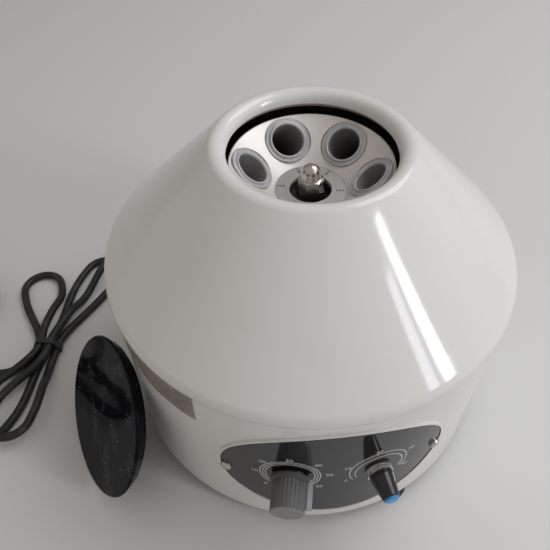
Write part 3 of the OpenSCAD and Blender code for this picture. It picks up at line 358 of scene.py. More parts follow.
BLACK_PAINT = paint("black_paint", (0.03, 0.028, 0.027), 0.34)
# The hood's paint is black, but its colour here is far paler: painted light inside the chamber,
# where the lamps hardly reach.
HOOD_PAINTED_LIGHT = paint("hood_painted_light", (0.30, 0.25, 0.235), 0.55)
CAST_METAL = paint("cast_metal", (0.42, 0.42, 0.43), 0.5, 300, metal=1.0)
ZINC = polished_metal("zinc_plate", (0.58, 0.57, 0.55), 0.24)
CHROME = polished_metal("nut_chrome")
PIN_BRASS = polished_metal("pin_brass", (0.72, 0.55, 0.28), 0.18)
GROUND_STEEL = rolled_metal("ground_steel", (0.62, 0.61, 0.6), 0.22)
ROLLED_STEEL = rolled_metal("rolled_steel", (0.5, 0.5, 0.51), 0.34)
IRON_STACK = rolled_metal("iron_stack", (0.24, 0.2, 0.17), 0.5, (1, 1, 300))
COPPER = rolled_metal("copper_wire", (0.62, 0.3, 0.14), 0.35, (1, 1, 200))
print("materials so far:", len(bpy.data.materials))


# %% [markdown]
# Most of this machine is turned on a lathe or pressed round an axis. Such a piece can be
# made with the Screw modifier or with Spin, but a ring of points that is extruded along
# its profile gives the same skin with an even grid, and leaves both poles easy to close.
# So one helper adds a circle, extrudes it from profile point to profile point and scales
# each new ring to its radius. A ring at a pole is tiny, so that it merges to one point.

# %% Turned pieces
POLE_R = 0.02
WELD = 0.000045


def pick(*pieces):
    """Selects these pieces alone and makes the first one active."""
    bpy.ops.object.select_all(action="DESELECT")
    for piece in pieces:
        piece.select_set(True)
    if pieces:
        bpy.context.view_layer.objects.active = pieces[0]


def settle():
    """Bakes the selected piece's place into its mesh."""
    bpy.ops.object.transform_apply(location=True, rotation=True, scale=True)


def turned(name, profile, sides, smooth=30):
    """A closed piece turned about Z. Its profile is (radius, height) in mm, outside upwards."""
    pick()
    radius, height = profile[0]
    now = max(radius, POLE_R)
    bpy.ops.mesh.primitive_circle_add(vertices=sides, radius=now * MM,
                                      location=(0, 0, height * MM))
    piece = bpy.context.object
    piece.name = name
    settle()
    bpy.ops.object.mode_set(mode="EDIT")
    bpy.ops.mesh.select_all(action="SELECT")
    for radius, up_to in profile[1:]:
        ring = max(radius, POLE_R)
        rise = {"value": (0, 0, (up_to - height) * MM)}
        bpy.ops.mesh.extrude_region_move(TRANSFORM_OT_translate=rise)
        scale = ring / now
        bpy.ops.transform.resize(value=(scale, scale, 1), center_override=(0, 0, up_to * MM))
        now, height = ring, up_to
    bpy.ops.mesh.select_all(action="SELECT")
    bpy.ops.mesh.remove_doubles(threshold=WELD)
    bpy.ops.mesh.normals_make_consistent(inside=False)
    bpy.ops.object.mode_set(mode="OBJECT")
    bpy.ops.object.shade_smooth_by_angle(angle=math.radians(smooth))
    return piece


def rounded(cx, cz, radius, start, stop, steps):
    """Points of an arc in the profile's plane, angles in degrees."""
    angles = [math.radians(start + (stop - start) * i / steps) for i in range(steps + 1)]
    return [(cx + radius * math.cos(a), cz + radius * math.sin(a)) for a in angles]


# %% [markdown]
# A finished piece keeps its place in its mesh, as a CAD node does, so that a pattern on
# Object coordinates never slides. Pieces that stand round the axis get their place from one
# turn in degrees, counted from the front.

# %% Placing and handing over
def put(piece, matrix):
    """Bakes a place into the mesh, so that the object stays at the origin."""
    pick(piece)
    piece.matrix_world = matrix @ piece.matrix_world
    settle()


def around(turn, radius, height):
    """The frame of a place round the axis, with +Y pointing inwards."""
    a = math.radians(turn)
    return Matrix.Rotation(a, 4, "Z") @ Matrix.Translation((0, -radius * MM, height * MM))


def joined(pieces, name):
    """Several pieces as one mesh."""
    pick(*pieces)
    bpy.ops.object.join()
    piece = bpy.context.object
    piece.name = name
    settle()
    return piece


def finish_piece(piece, body, slot, material, *replaced):
    """Gives a piece its material and body, and hides the nodes that it stands for; slot is not
    used.
    """
    piece.data.materials.clear()
    piece.data.materials.append(material)
    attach(piece, body)
    if replaced:
        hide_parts(*replaced)
    print(piece.name, len(piece.data.polygons), "faces on", body)


# %% [markdown]
# The mains lead leaves a strain relief at the back, lies down on the table, passes the left
# side of the housing and is folded into a hank with a strap round its waist. It is a curve
# with a round bevel, through the same points as its CAD solid. The hank is worked out: each
# loop runs out along one strand, round a fold and back along the next, and every other
# strand crosses the waist on top of its neighbours. All of it is in millimetres, with u
# along the hank and v across it.

# %% How a loop of the hank runs
CORD_R = 3.25
CORD_Z = -FOOT_H + CORD_R + 0.02
HANK_AT, HANK_TURN = (-211, 29), math.radians(6)
STRAND_PITCH, STRAND_RISE, LEAN_START = 3.8, 7.3, 12
WAIST_LIFT, WAIST_HALF, WAIST_FADE = 1.3, 8, 30
FOLD_R, FOLD_STEPS, FOLD_FROM, FOLD_FADE = 16.25, 12, 12, 34
LEG_STEPS = 18


def soft_step(t):
    """0 to 1 with a level start and end."""
    t = min(1, max(0, t))
    return t * t * t * (t * (6 * t - 15) + 10)


def slot_at(strand):
    """Where a strand crosses the waist."""
    return (strand - 3) * STRAND_PITCH


def beside(u, v, lean):
    """A point at a distance v beside a loop's leaning middle line."""
    run = math.hypot(u, LEAN_START)
    slope = lean * u / run
    size = math.hypot(1, slope)
    return u - v * slope / size, lean * (run - LEAN_START) + v / size


def strand_rise(strand, u, start, stop):
    """How high an even strand rides at the waist, and how it comes down from start to stop."""
    if strand % 2:
        return 0
    return STRAND_RISE * (1 - soft_step((abs(u) - start) / (stop - start)))


def leg(strand, target, length, lean, side, start, stop, fold_rise):
    """One strand, from the waist to the start of its fold."""
    points = []
    for i in range(LEG_STEPS + 1):
        u = length * i / LEG_STEPS
        at = slot_at(strand)
        x, y = beside(u, at + (target - at) * soft_step(u / length), lean)
        lifted = fold_rise * soft_step((u - FOLD_FROM) / FOLD_FADE)
        points.append((side * x, y, max(strand_rise(strand, u, start, stop), lifted)))
    return points


def loop(out, back, side, length, lean_deg, start, stop, fold_rise):
    """Out along one strand, round the fold and back along another."""
    lean, way = math.tan(math.radians(lean_deg)), 1 if out > back else -1
    x, y = beside(length, 0, lean)
    slope = lean * length / math.hypot(length, LEAN_START)
    size = math.hypot(1, slope)
    points = leg(out, way * FOLD_R, length, lean, side, start, stop, fold_rise)
    for i in range(1, FOLD_STEPS):
        a = math.pi * i / FOLD_STEPS
        along, across = FOLD_R * math.sin(a), way * FOLD_R * math.cos(a)
        points.append((side * (x + (along - across * slope) / size),
                       y + (along * slope + across) / size, fold_rise))
    return points + leg(back, -way * FOLD_R, length, lean, side, start, stop, fold_rise)[::-1]


print("strands cross the waist at", [round(slot_at(k), 2) for k in range(1, 6)])

# %% [markdown]
# The lead comes in from the back along strand 4, makes four loops and leaves from strand 1
# in a quarter turn towards the plug. Where it crosses the fold of the long loop at the back,
# it rides over it in a low hump.

# %% The hank, from its entry to its exit
LONG_LOOP, SHORT_LOOP, LONG_LEAN = 84, 66, 22
DESCENT = (28, 60)
ENTRY_FROM, ENTRY_RUN, ENTRY_STEPS, ENTRY_FADE = 160, 154, 32, 80
HUMP, HUMP_HALF, HUMP_FADE = 7.8, 6, 42
EXIT_AT, EXIT_R, EXIT_STRAIGHT = 2, 26, 8
LOOPS = (  # strand out, strand back, side, length, lean, descent from and to, rise of the fold
    (4, 5, -1, SHORT_LOOP, -10, 90, 99, STRAND_RISE),
    (5, 3, 1, LONG_LOOP, LONG_LEAN, *DESCENT, 0),
    (3, 2, -1, SHORT_LOOP, -28, 36, 64, 0),
    (2, 1, 1, SHORT_LOOP, -LONG_LEAN, *DESCENT, 0))

entry = []
for i in range(ENTRY_STEPS + 1):
    u = ENTRY_FROM - ENTRY_RUN * i / ENTRY_STEPS
    x, y = beside(u, slot_at(4) * (1 - soft_step(u / ENTRY_FADE)),
                  math.tan(math.radians(LONG_LEAN)))
    hump = HUMP * (1 - soft_step((abs(u - LONG_LOOP - FOLD_R) - HUMP_HALF) / HUMP_FADE))
    entry.append((x, y, max(hump, strand_rise(4, u, *DESCENT))))
hank = entry + loop(*LOOPS[0])
for row in LOOPS[1:]:
    hank += loop(*row)[1:]
for degrees in range(10, 91, 10):
    a = math.radians(degrees)
    hank.append((EXIT_AT - EXIT_R * math.sin(a), slot_at(1) - EXIT_R * (1 - math.cos(a)), 0))
hank.append((EXIT_AT - EXIT_R, slot_at(1) - EXIT_R - EXIT_STRAIGHT, 0))


def from_hank(point):
    """A point of the hank in the machine's frame, lifted where the strap passes under it."""
    u, v, z = point
    return Vector((
        HANK_AT[0] + u * math.sin(HANK_TURN) + v * math.cos(HANK_TURN),
        HANK_AT[1] + u * math.cos(HANK_TURN) - v * math.sin(HANK_TURN),
        CORD_Z + z + WAIST_LIFT * (1 - soft_step((abs(u) - WAIST_HALF) / WAIST_FADE))))


hank = [from_hank(p) for p in hank]
print("points in the hank:", len(hank))


# %% [markdown]
# Behind the housing the lead leaves its relief straight and comes down to the table in an
# easy curve. After the hank it rises a little into the plug. The given points are far
# apart, so a Catmull-Rom line is drawn through them and cut at an even gap.

# %% The whole route
BASE_R, WALL_TAPER, SEAM_Z = 130.5, 2.5, 124
RELIEF_TURN, RELIEF_Z, RELIEF_GAP, RELIEF_L = math.radians(188), 18, 0.4, 30
LEAD_IN, LINE_GAP, CUTS = 7.15, 3.0, 12
PLUG_BACK = Vector((-285, 40, 3))


def wall_r(z):
    """Radius of the lower body's outer wall at a height."""
    return BASE_R - WALL_TAPER * z / SEAM_Z


RELIEF_WAY = Vector((math.sin(RELIEF_TURN), -math.cos(RELIEF_TURN), 0))
RELIEF_END = (RELIEF_WAY * (wall_r(RELIEF_Z) + RELIEF_GAP + RELIEF_L)
              + Vector((0, 0, RELIEF_Z)))
behind = [RELIEF_END, RELIEF_END + RELIEF_WAY * 2 * CORD_R]
behind += [Vector(p) for p in (
    (-27, 180, 14), (-34, 191, 8), (-44, 201, 1), (-57, 208, -3.6), (-72, 211, CORD_Z),
    (-88, 211, CORD_Z), (-100, 209.5, CORD_Z), (-112, 204.5, CORD_Z), (-122, 197, CORD_Z))]
behind.append(hank[0] - (hank[1] - hank[0]).normalized() * LEAD_IN)
to_plug = [hank[-1] + (hank[-1] - hank[-2]).normalized() * 2 * CORD_R]
to_plug += [Vector(p) for p in (
    (-268, 13, CORD_Z + 0.4), (-276, 19, CORD_Z + 2.2), (-282, 28, CORD_Z + 4.8),
    (-284.6, 37, 2.6))]
to_plug += [PLUG_BACK - Vector((0, CORD_R, 0)), PLUG_BACK]
route = behind + hank + to_plug


def smoothed(points, gap):
    """Points at an even gap along a Catmull-Rom line through the given points."""
    dense = []
    padded = [points[0] * 2 - points[1]] + points + [points[-1] * 2 - points[-2]]
    for a, b, c, d in zip(padded, padded[1:], padded[2:], padded[3:]):
        for i in range(CUTS):
            t = i / CUTS
            dense.append(0.5 * (2 * b + (c - a) * t + (2 * a - 5 * b + 4 * c - d) * t * t
                                + (3 * b - a - 3 * c + d) * t ** 3))
    dense.append(points[-1])
    even, left = [dense[0]], gap
    for a, b in zip(dense, dense[1:]):
        step = (b - a).length
        while step >= left:
            a = a + (b - a).normalized() * left
            step -= left
            even.append(a.copy())
            left = gap
        left -= step
    if (even[-1] - dense[-1]).length < gap / 2:
        even.pop()
    return even + [dense[-1]]


line = smoothed(route, LINE_GAP)
lead_length = sum((b - a).length for a, b in zip(line, line[1:])) * MM
print("lead length in m:", round(lead_length, 3), "points:", len(line))

# %% [markdown]
# The sheath is round and the same all along.

# %% The lead as a curve
lead_curve = bpy.data.curves.new("mains_lead", "CURVE")
lead_curve.dimensions = "3D"
lead_curve.bevel_depth = CORD_R * MM
lead_curve.bevel_resolution = 5
lead_curve.use_fill_caps = True
lead_curve.twist_mode = "Z_UP"
spline = lead_curve.splines.new("POLY")
spline.points.add(len(line) - 1)
for point, at in zip(spline.points, line):
    point.co = (*(at * MM), 1)
spline.use_smooth = True
mains_lead = new_object("mains_lead", lead_curve)
lead_curve.materials.append(CORD_BLACK)
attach(mains_lead, "housing")
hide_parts("power_cord", "cord_hank", "plug_lead")

tuple(RELIEF_END * MM)
print("points on the lead's curve:", len(spline.points))

# %% [markdown]
# The housing is two deep mouldings: a lower body like a slightly tapered drum, which keeps
# its CAD shape, and a cone that ends in a rolled collar round the mouth. A turned skin gives
# the cone's gloss the clean reflections that a faceted CAD export can't. Its wall is turned
# as one closed profile, outside up and inside down, so that it has its real thickness.

# %% Cone cover with its rolled collar
SLOPE = math.radians(45.5)
FACE_TURN = 44.5
SHOULDER, SHOULDER_ROUND, COVER_WALL = (120, 127), 10, 3
RIM_R, RIM_ROUND = 54, 6
MOUTH_R = RIM_R - RIM_ROUND
COVER_LOW = SEAM_Z + 0.12
cone_r = SHOULDER[0] + SHOULDER_ROUND * math.cos(math.radians(FACE_TURN))
cone_z = SHOULDER[1] + SHOULDER_ROUND * math.sin(math.radians(FACE_TURN))
RIM_Z = cone_z + (cone_r - RIM_R) * math.tan(SLOPE) - RIM_ROUND / math.cos(SLOPE)
MOUTH_LOW = RIM_Z - 1.7
COLLAR_FROM = RIM_Z + 4.2
CONE_RINGS = 12


def cone_at(z, inwards=0.0):
    """Radius of the cone's face at a height, moved in by a thickness."""
    return cone_r - (z - cone_z + inwards / math.cos(SLOPE)) / math.tan(SLOPE)


seam_turn = -math.degrees(math.asin((SHOULDER[1] - SEAM_Z) / SHOULDER_ROUND)) + 1.5
cover_profile = rounded(*SHOULDER, SHOULDER_ROUND, seam_turn, FACE_TURN, 14)
cover_profile[0] = (cover_profile[0][0] - 0.5, COVER_LOW)
for i in range(1, CONE_RINGS):
    z = cone_z + (COLLAR_FROM - cone_z) * i / CONE_RINGS
    cover_profile.append((cone_at(z), z))
cover_profile += rounded(RIM_R, RIM_Z, RIM_ROUND, FACE_TURN, 180, 20)
cover_profile += [(MOUTH_R, MOUTH_LOW + 0.3), (MOUTH_R + 0.3, MOUTH_LOW),
                  (cone_at(MOUTH_LOW, COVER_WALL), MOUTH_LOW)]
cover_profile += rounded(*SHOULDER, SHOULDER_ROUND - COVER_WALL, FACE_TURN, -22, 8)
cover_profile += [(cover_profile[0][0] - COVER_WALL, COVER_LOW), cover_profile[0]]
cone_cover = turned("cone_cover", cover_profile, 256, 35)
print("rim height in mm:", round(RIM_Z + RIM_ROUND, 2))

# %% [markdown]
# Three screws come up from the body's ledge into bosses under the cone. A boss is turned
# with its blind hole, set at its place, and its top points are then moved up to the sloping
# ceiling, so that it grows out of the cone as a moulded boss does.

# %% Screw bosses under the cone
FOOT_TURN, SCREW_RING = 21.6, 118
SCREW_TURN = FOOT_TURN + 60
BOSS_PROFILE = [(0, 133), (2.02, 133), (2.02, COVER_LOW), (4.7, COVER_LOW), (5, 124.4),
                (5, 137), (2.5, 137), (0, 137)]
BOSS_TOP_FROM, BOSS_SINK = 136, 2.4


def cone_ceiling(radius, inwards):
    """Height of the cone's inner face at a radius."""
    return cone_z + (cone_r - radius) * math.tan(SLOPE) - inwards / math.cos(SLOPE)


bosses = []
for k in range(3):
    boss = turned("cover_boss", BOSS_PROFILE, 32)
    put(boss, around(SCREW_TURN + 120 * k, SCREW_RING, 0))
    for point in boss.data.vertices:
        if point.co.z > BOSS_TOP_FROM * MM:
            radius = math.hypot(point.co.x, point.co.y) / MM
            point.co.z = cone_ceiling(radius, BOSS_SINK) * MM
    bosses.append(boss)
cone_cover = joined([cone_cover, *bosses], "cone_cover")
finish_piece(cone_cover, "housing", "housing_plastic", WHITE_SHELL, "top_cover")

# %% [markdown]
# The control panel is a thin glossy plate, cut as an ellipse and bent round the drum inside
# a raised bead, which keeps its CAD shape with the lower body. Simple Deform could bend the
# plate, but the drum is a cone. So it is turned flat as a disc and its points are then moved
# onto the wall: across stays across, up stays up, and the height above the disc becomes the
# height above the wall.

# %% Wrapping a flat piece onto the drum
PANEL_W, PANEL_H, PANEL_Z, PLATE_T = 66.6, 50.5, 63.6, 1.2
DISC_R = 100


def on_wall(x, z, lift):
    """The point of the wall at a place seen from the front, lifted off it."""
    radius = wall_r(z) + lift
    return Vector((x, -math.sqrt(max(1.0, radius * radius - x * x)), z)) * MM


def wrap_on_wall(piece):
    """Turns a disc into the panel's ellipse and lays it on the wall."""
    for point in piece.data.vertices:
        x, y, lift = point.co / MM
        share, angle = min(math.hypot(x, y), DISC_R) / DISC_R, math.atan2(y, x)
        point.co = on_wall(PANEL_W * share * math.cos(angle),
                           PANEL_Z + PANEL_H * share * math.sin(angle), lift)


def flip_outwards(piece):
    """Points all faces of a closed piece outwards."""
    pick(piece)
    bpy.ops.object.mode_set(mode="EDIT")
    bpy.ops.mesh.select_all(action="SELECT")
    bpy.ops.mesh.normals_make_consistent(inside=False)
    bpy.ops.object.mode_set(mode="OBJECT")


print("wall radius behind the panel in mm:", round(wall_r(PANEL_Z), 2))


# %% [markdown]
# The plate is black with a mirror gloss, and its print is pale lines. The scale lines are
# drawn in the material, as thin rings round the two shafts seen from the front, because a
# line of print has no thickness. The numbers are thin meshes, so that they stay crisp.

# %% Panel plate
TIMER_DIAL, SPEED_DIAL = (-26.8, 66), (25.2, 66)
TIMER_LINES = (14.2, 15.8, 17.4)
PRINT_LINE = 0.55
PLATE_BLACK, PRINT_PALE = (0.016, 0.016, 0.018), (0.62, 0.62, 0.64)


def printed_panel():
    f = Finish("panel_gloss", PLATE_BLACK, 0.05)
    where = f.place()
    x, _, z = f.parts(where)

    def ring(dial, radius, shift=(0, 0)):
        """1 on a thin ring round a dial's centre."""
        far = f.radius(x - (dial[0] + shift[0]) * MM, z - (dial[1] + shift[1]) * MM)
        return 1 - (far - radius * MM).absolute().above(PRINT_LINE / 2 * MM, 0.00012)

    def open_below(dial, slope):
        """0 in the gap at the bottom of a scale, 1 elsewhere."""
        across, up = x - dial[0] * MM, z - dial[1] * MM
        return (up + f.radius(across, up) * slope).above(0, 0.0002)

    inner, middle, outer = (ring(TIMER_DIAL, radius) for radius in TIMER_LINES)
    timer = (inner + middle + outer) * open_below(TIMER_DIAL, 0.8)
    speed = ring(SPEED_DIAL, 17.6) + ring(SPEED_DIAL, 14.6, shift=(0.4, -1.4))
    speed = speed * open_below(SPEED_DIAL, 0.55)
    left_side = 1 - x.above(0, 0.0001)
    lines = timer * left_side + speed * (1 - left_side)
    wipes = f.noise(f.place(scale=(1, 1, 3)), 28, 4)
    dust = f.noise(where, 1300, 1).above(0.72, 0.04)
    f.feed("Base Color", f.mix(lines * 0.95 + dust * 0.18, PLATE_BLACK, PRINT_PALE))
    f.feed("Roughness", 0.05 + 0.1 * wipes.above(0.5, 0.25) + 0.3 * lines)
    f.bump(f.noise(where, 75, 1), 0.00004, 0.25)
    return f.material


PANEL_GLOSS = printed_panel()
panel_profile = [(0, 0.05), (DISC_R, 0.05), (DISC_R, 0.8), (99.7, 1.1), (99.2, PLATE_T)]
panel_profile += [(r, PLATE_T) for r in range(96, 0, -4)] + [(0, PLATE_T)]
panel_plate = turned("panel_plate", panel_profile, 160)
wrap_on_wall(panel_plate)
flip_outwards(panel_plate)
finish_piece(panel_plate, "housing", "panel_plastic", PANEL_GLOSS, "control_panel")


# %% [markdown]
# The numbers are printed, a film of ink a little worn. They could be lines in the material
# as the scales are, but a figure is easier to set as text that is turned into a flat mesh
# and laid a hair above the plate, one at each place round its dial.

# %% Dial numbers
FIGURE_SIZE, INK_LIFT = 4.4, 0.03


def print_ink(name, colour):
    f = Finish(name, colour, 0.4)
    worn = f.noise(f.place(), 900, 3)
    f.feed("Base Color", f.mix(worn.above(0.45, 0.3), colour, toned(colour, 0.7)))
    f.feed("Roughness", 0.35 + 0.2 * worn)
    return f.material


def figures(words, size):
    """Plain figures as a flat mesh round the origin, facing up, their size in mm."""
    curve = bpy.data.curves.new("figures", "FONT")
    curve.body, curve.size = words, size * MM
    curve.align_x, curve.align_y = "CENTER", "CENTER"
    curve.resolution_u = 2
    curve.offset = size * 0.012 * MM
    pick(new_object("figures", curve))
    bpy.ops.object.convert(target="MESH")
    return bpy.context.object


def dial_figures(name, cx, cz, marks):
    """Lays figures round a dial: each mark is its words, its turn in degrees and its radius."""
    made = []
    for words, degrees, radius in marks:
        word = figures(words, FIGURE_SIZE)
        a = math.radians(degrees)
        for point in word.data.vertices:
            x = cx + radius * math.cos(a) + point.co.x / MM
            z = cz + radius * math.sin(a) + point.co.y / MM
            point.co = on_wall(x, z, PLATE_T + INK_LIFT)
        made.append(word)
    finish_piece(joined(made, name), "housing", "panel_plastic", PALE_INK)


PALE_INK = print_ink("pale_ink", PRINT_PALE)
DARK_INK = print_ink("dark_ink", (0.03, 0.03, 0.03))
dial_figures("timer_figures", *TIMER_DIAL, [
    ("0", 229, 22), ("10", 182, 20.5), ("20", 140, 20.5), ("30", 92, 19.5), ("40", 44, 21.5),
    ("50", 3, 22.5), ("60", -40, 22.5)])
dial_figures("speed_figures", *SPEED_DIAL, [
    ("0", 208, 21.5), ("10", 160, 20.5), ("20", 95, 20), ("30", 25, 21.5), ("40", -30, 21)])

# %% [markdown]
# Both knobs stand square on the curved wall. The timer knob is a fluted barrel with a fin
# that points at the scale; it keeps its CAD shape. Behind each knob the plate is formed
# over a low boss, so a small black collar closes the gap round the shaft.

# %% Places of the controls
TIMER_AT, SPEED_AT = math.radians(-11.9), math.radians(10.9)
KNOB_Z = 66
BOSS_FACE = wall_r(KNOB_Z) + PLATE_T + 0.3
KNOB_BACK = BOSS_FACE + 0.5
COLLAR_PROFILE = [(4.0, -1.5), (8.15, -1.5), (8.15, -0.1), (7.9, 0.06), (4.0, 0.06), (4.0, -1.5)]


def control_place(turn, out):
    """Local +Z comes straight out of the wall at a control, local +Y is up."""
    front = Matrix.Translation(Vector((0, -out, KNOB_Z)) * MM)
    return Matrix.Rotation(turn, 4, "Z") @ (front @ Matrix.Rotation(math.radians(90), 4, "X"))


for name, turn in (("timer_collar", TIMER_AT), ("speed_collar", SPEED_AT)):
    collar = turned(name, COLLAR_PROFILE, 64)
    put(collar, control_place(turn, BOSS_FACE))
    finish_piece(collar, "housing", "panel_plastic", PANEL_GLOSS)


# %% [markdown]
# The timer knob's grey plastic is darker in its flutes, as painted shade in the grooves, and
# on its skirt; its end face and fin are paler, as painted highlights. The height along the
# knob's own axis and the distance from it give all four, so the coordinates are turned to it.

# %% Knob plastic
FIN_HALF, FIN_FROM, FLUTE_R = 2.35 * MM, 10.5 * MM, 10.2 * MM
FACE_OUT, SKIRT_OUT = 20.3 * MM, 4.1 * MM


def knob_grey():
    f = Finish("knob_grey", (0.17, 0.17, 0.175), 0.42)
    place = control_place(TIMER_AT, KNOB_BACK).translation
    across, out, high = f.parts(f.place(at=tuple(place), turn=(0, 0, -TIMER_AT)))
    far = f.radius(across, high)
    worn = f.noise(f.place(), 120, 4)
    face = (0 - out).above(FACE_OUT, 0.3 * MM)
    fin_highlight = across.above(FIN_FROM, 0.4 * MM) * (1 - high.absolute().above(FIN_HALF, 0.1 * MM))
    flute_shade = far.below(FLUTE_R, 0.7 * MM) * (1 - face)
    skirt = 1 - (0 - out).above(SKIRT_OUT, 0.3 * MM)
    # painted shade: the flutes' grooves are darker
    shade = f.mix(flute_shade * 0.75, (0.14, 0.138, 0.14), (0.055, 0.054, 0.056))
    shade = f.mix(skirt * 0.85, shade, (0.06, 0.058, 0.058))
    # painted highlight: the fin is paler and bluish
    shade = f.mix(fin_highlight * 0.9, shade, (0.50, 0.50, 0.57))
    # painted highlight: the end face is paler
    shade = f.mix(face * 0.55, shade, (0.30, 0.30, 0.31))
    f.feed("Base Color", f.mix(worn * 0.25, shade, (0.2, 0.2, 0.2)))
    f.feed("Roughness", 0.36 + 0.16 * worn)
    f.bump(f.noise(f.place(), 1500, 2), 0.00002, 0.5)
    return f.material


KNOB_GREY = knob_grey()
print("knob back in mm from the axis:", round(KNOB_BACK, 2))

# %% [markdown]
# The speed knob is a slim black cone with a knurled ring, a blue cap and a white pointer
# line. The line runs up the cone, so it is a thin raised strip that starts as a cube, gets
# its size and a bevel, and is leaned to the cone's own slope.

# %% Pointer of the speed knob
STRIP_SIZE, STRIP_EDGE = (0.9, 0.5, 5.2), 0.12
KNOB_LOW_R, KNOB_TOP_R = 7.1, 5.2
KNOB_TOP, KNURL_TOP, KNOB_EDGE = 18.4, 5.8, 0.6
STRIP_R, STRIP_HIGH, POINTER_TURN = 6.75, 8.4, math.radians(-52)

pick()
bpy.ops.mesh.primitive_cube_add(size=1, location=(0, 0, 0))
strip = bpy.context.object
strip.name = "speed_pointer"
strip.scale = tuple(side * MM for side in STRIP_SIZE)
settle()
bpy.ops.object.modifier_add(type="BEVEL")
strip.modifiers["Bevel"].width = STRIP_EDGE * MM
strip.modifiers["Bevel"].segments = 2
bpy.ops.object.modifier_apply(modifier="Bevel")
slope = math.atan2(KNOB_LOW_R - KNOB_TOP_R, KNOB_TOP - KNURL_TOP - KNOB_EDGE)
put(strip, Matrix.Translation((0, STRIP_R * MM, STRIP_HIGH * MM)) @ Matrix.Rotation(slope, 4, "X"))
put(strip, control_place(SPEED_AT, KNOB_BACK) @ Matrix.Rotation(POINTER_TURN, 4, "Z"))
finish_piece(strip, "speed", "black_knob", PALE_INK)

# %% [markdown]
# The rotor's dish is pressed aluminium, satin from spinning: its fine rings turn any lamp
# into a soft fan of light. The number plate in its middle is finer, and the nut on it is
# plated and a little rubbed. All three keep their CAD shape.

# %% Dish, number plate and nut
SPUN_DISH = spun_metal("spun_dish", (0.78, 0.75, 0.72), 0.5, 1500, metal=0.6)
RING_PLATE = spun_metal("number_plate", (0.66, 0.65, 0.635), 0.42, 900)
RUBBED_NUT = polished_metal("rubbed_nut", (0.60, 0.56, 0.51), 0.24)
print("rotor metals:", [m.name for m in (SPUN_DISH, RING_PLATE, RUBBED_NUT)])


# %% [markdown]
# The tube sleeves are glossy grey plastic outside. Down the bore they are dull and painted darker,
# as painted shade where light hardly reaches. Two materials on one mesh show that better than
# one that has to work out where the bore begins.

# %% Sleeve plastics
def sleeve_skin():
    f = Finish("sleeve_skin", (0.50, 0.50, 0.53), 0.22)
    where = f.place()
    cloud = f.noise(where, 140, 3)
    f.feed("Base Color", f.mix(cloud.above(0.35, 0.4), (0.42, 0.415, 0.425), (0.55, 0.545, 0.55)))
    f.feed("Roughness", 0.16 + 0.14 * cloud)
    f.bump(f.noise(where, 420, 2), 0.00003, 0.4)
    return f.material


SLEEVE_SKIN = sleeve_skin()
SLEEVE_BORE_SHADE = plain_plastic("sleeve_bore", (0.27, 0.26, 0.26), 0.45, 300, 0.00005)
print("materials so far:", len(bpy.data.materials))

# %% [markdown]
# Six sleeves hang in the dish by their flanges, tilted outwards. They are all alike, so one
# is turned with its stepped flange and its open bore, its faces are given the outer plastic or
# the bore's darker, painted-shade plastic by their place, and it is then copied to the six
# places, each copy with its own mesh.

# %% Sleeves
ROTOR_TURN, PLACES = 16.3, 6
SLEEVE_RING, SLEEVE_SEAT, SLEEVE_TILT = 34.8, 182.625, math.radians(-38)
BORE_R, BORE_LOW, BORE_TOP, SLEEVE_LOW = 9.7, -82, 0.85, -84
SLEEVE_PROFILE = [  # up the bore, over the lip and the stepped flange, then down outside
    (0, BORE_LOW), (7.7, BORE_LOW), (9.0, -81.2), (BORE_R, -79.5), (BORE_R, -40), (BORE_R, 0.9),
    (9.85, 1.7), (10.2, 2.2), (10.7, 2.4), (11.1, 2.3), (11.35, 2.0), (11.5, 1.35),
    (12.7, 1.25), (12.9, 1.5), (13.4, 1.6), (13.8, 1.45), (14.0, 1.1), (14.0, 0.3),
    (13.7, 0.02), (11.7, 0.02), (11.4, -0.3), (11.4, -40),
    *rounded(6.4, -79, 5, 0, -90, 6), (0, SLEEVE_LOW)]


def sleeve_shape():
    sleeve = turned("sleeve", SLEEVE_PROFILE, 72, 40)
    sleeve.data.materials.append(SLEEVE_SKIN)
    sleeve.data.materials.append(SLEEVE_BORE_SHADE)
    for face in sleeve.data.polygons:
        x, y, z = face.center / MM
        # faces down the bore get the darker plastic: painted shade
        inside = math.hypot(x, y) < BORE_R + 0.05 and BORE_LOW - 1 < z < BORE_TOP
        face.material_index = 1 if inside else 0
    return sleeve


first_sleeve = sleeve_shape()
for k in range(PLACES):
    sleeve = first_sleeve.copy()
    sleeve.data = first_sleeve.data.copy()
    sleeve.name = "tube_sleeve_%d" % (k + 1)
    bpy.context.scene.collection.objects.link(sleeve)
    seat = around(ROTOR_TURN + 360 // PLACES * k, SLEEVE_RING, SLEEVE_SEAT)
    put(sleeve, seat @ Matrix.Rotation(SLEEVE_TILT, 4, "X"))
    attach(sleeve, "sleeve_%d" % (k + 1))
    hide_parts("sleeve_%d" % (k + 1))
bpy.data.objects.remove(first_sleeve)
print("sleeves:", PLACES, "faces in each:", len(sleeve.data.polygons))

# %% [markdown]
# Each place of the rotor has its number and a dot on the plate, in dark ink, the figures
# with their tops outwards. They are flat meshes as on the dials, joined to one piece that
# turns with the rotor.

# %% Numbers on the ring
NUMBER_SIZE, NUMBER_RING, DOT_RING, DOT_R = 3.8, 16.4, 19.3, 0.55
INK_Z = 172.16

ring_marks = []
for k in range(PLACES):
    turn = ROTOR_TURN + 360 // PLACES * k
    figure = figures(str(k + 1), NUMBER_SIZE)
    put(figure, around(turn, NUMBER_RING, INK_Z) @ Matrix.Rotation(math.pi, 4, "Z"))
    pick()
    bpy.ops.mesh.primitive_circle_add(vertices=16, radius=DOT_R * MM, fill_type="NGON")
    dot = bpy.context.object
    put(dot, around(turn, DOT_RING, INK_Z))
    ring_marks += [figure, dot]
finish_piece(joined(ring_marks, "ring_numbers"), "rotor", "ring_plate", DARK_INK)


# %% [markdown]
# A strip of packing tape is still stuck below the seam. Tape is clear film with a brownish
# glue: the part below shows through, and the film lies in faint creases. The strip keeps
# its CAD shape, and its alpha and relief do the rest.

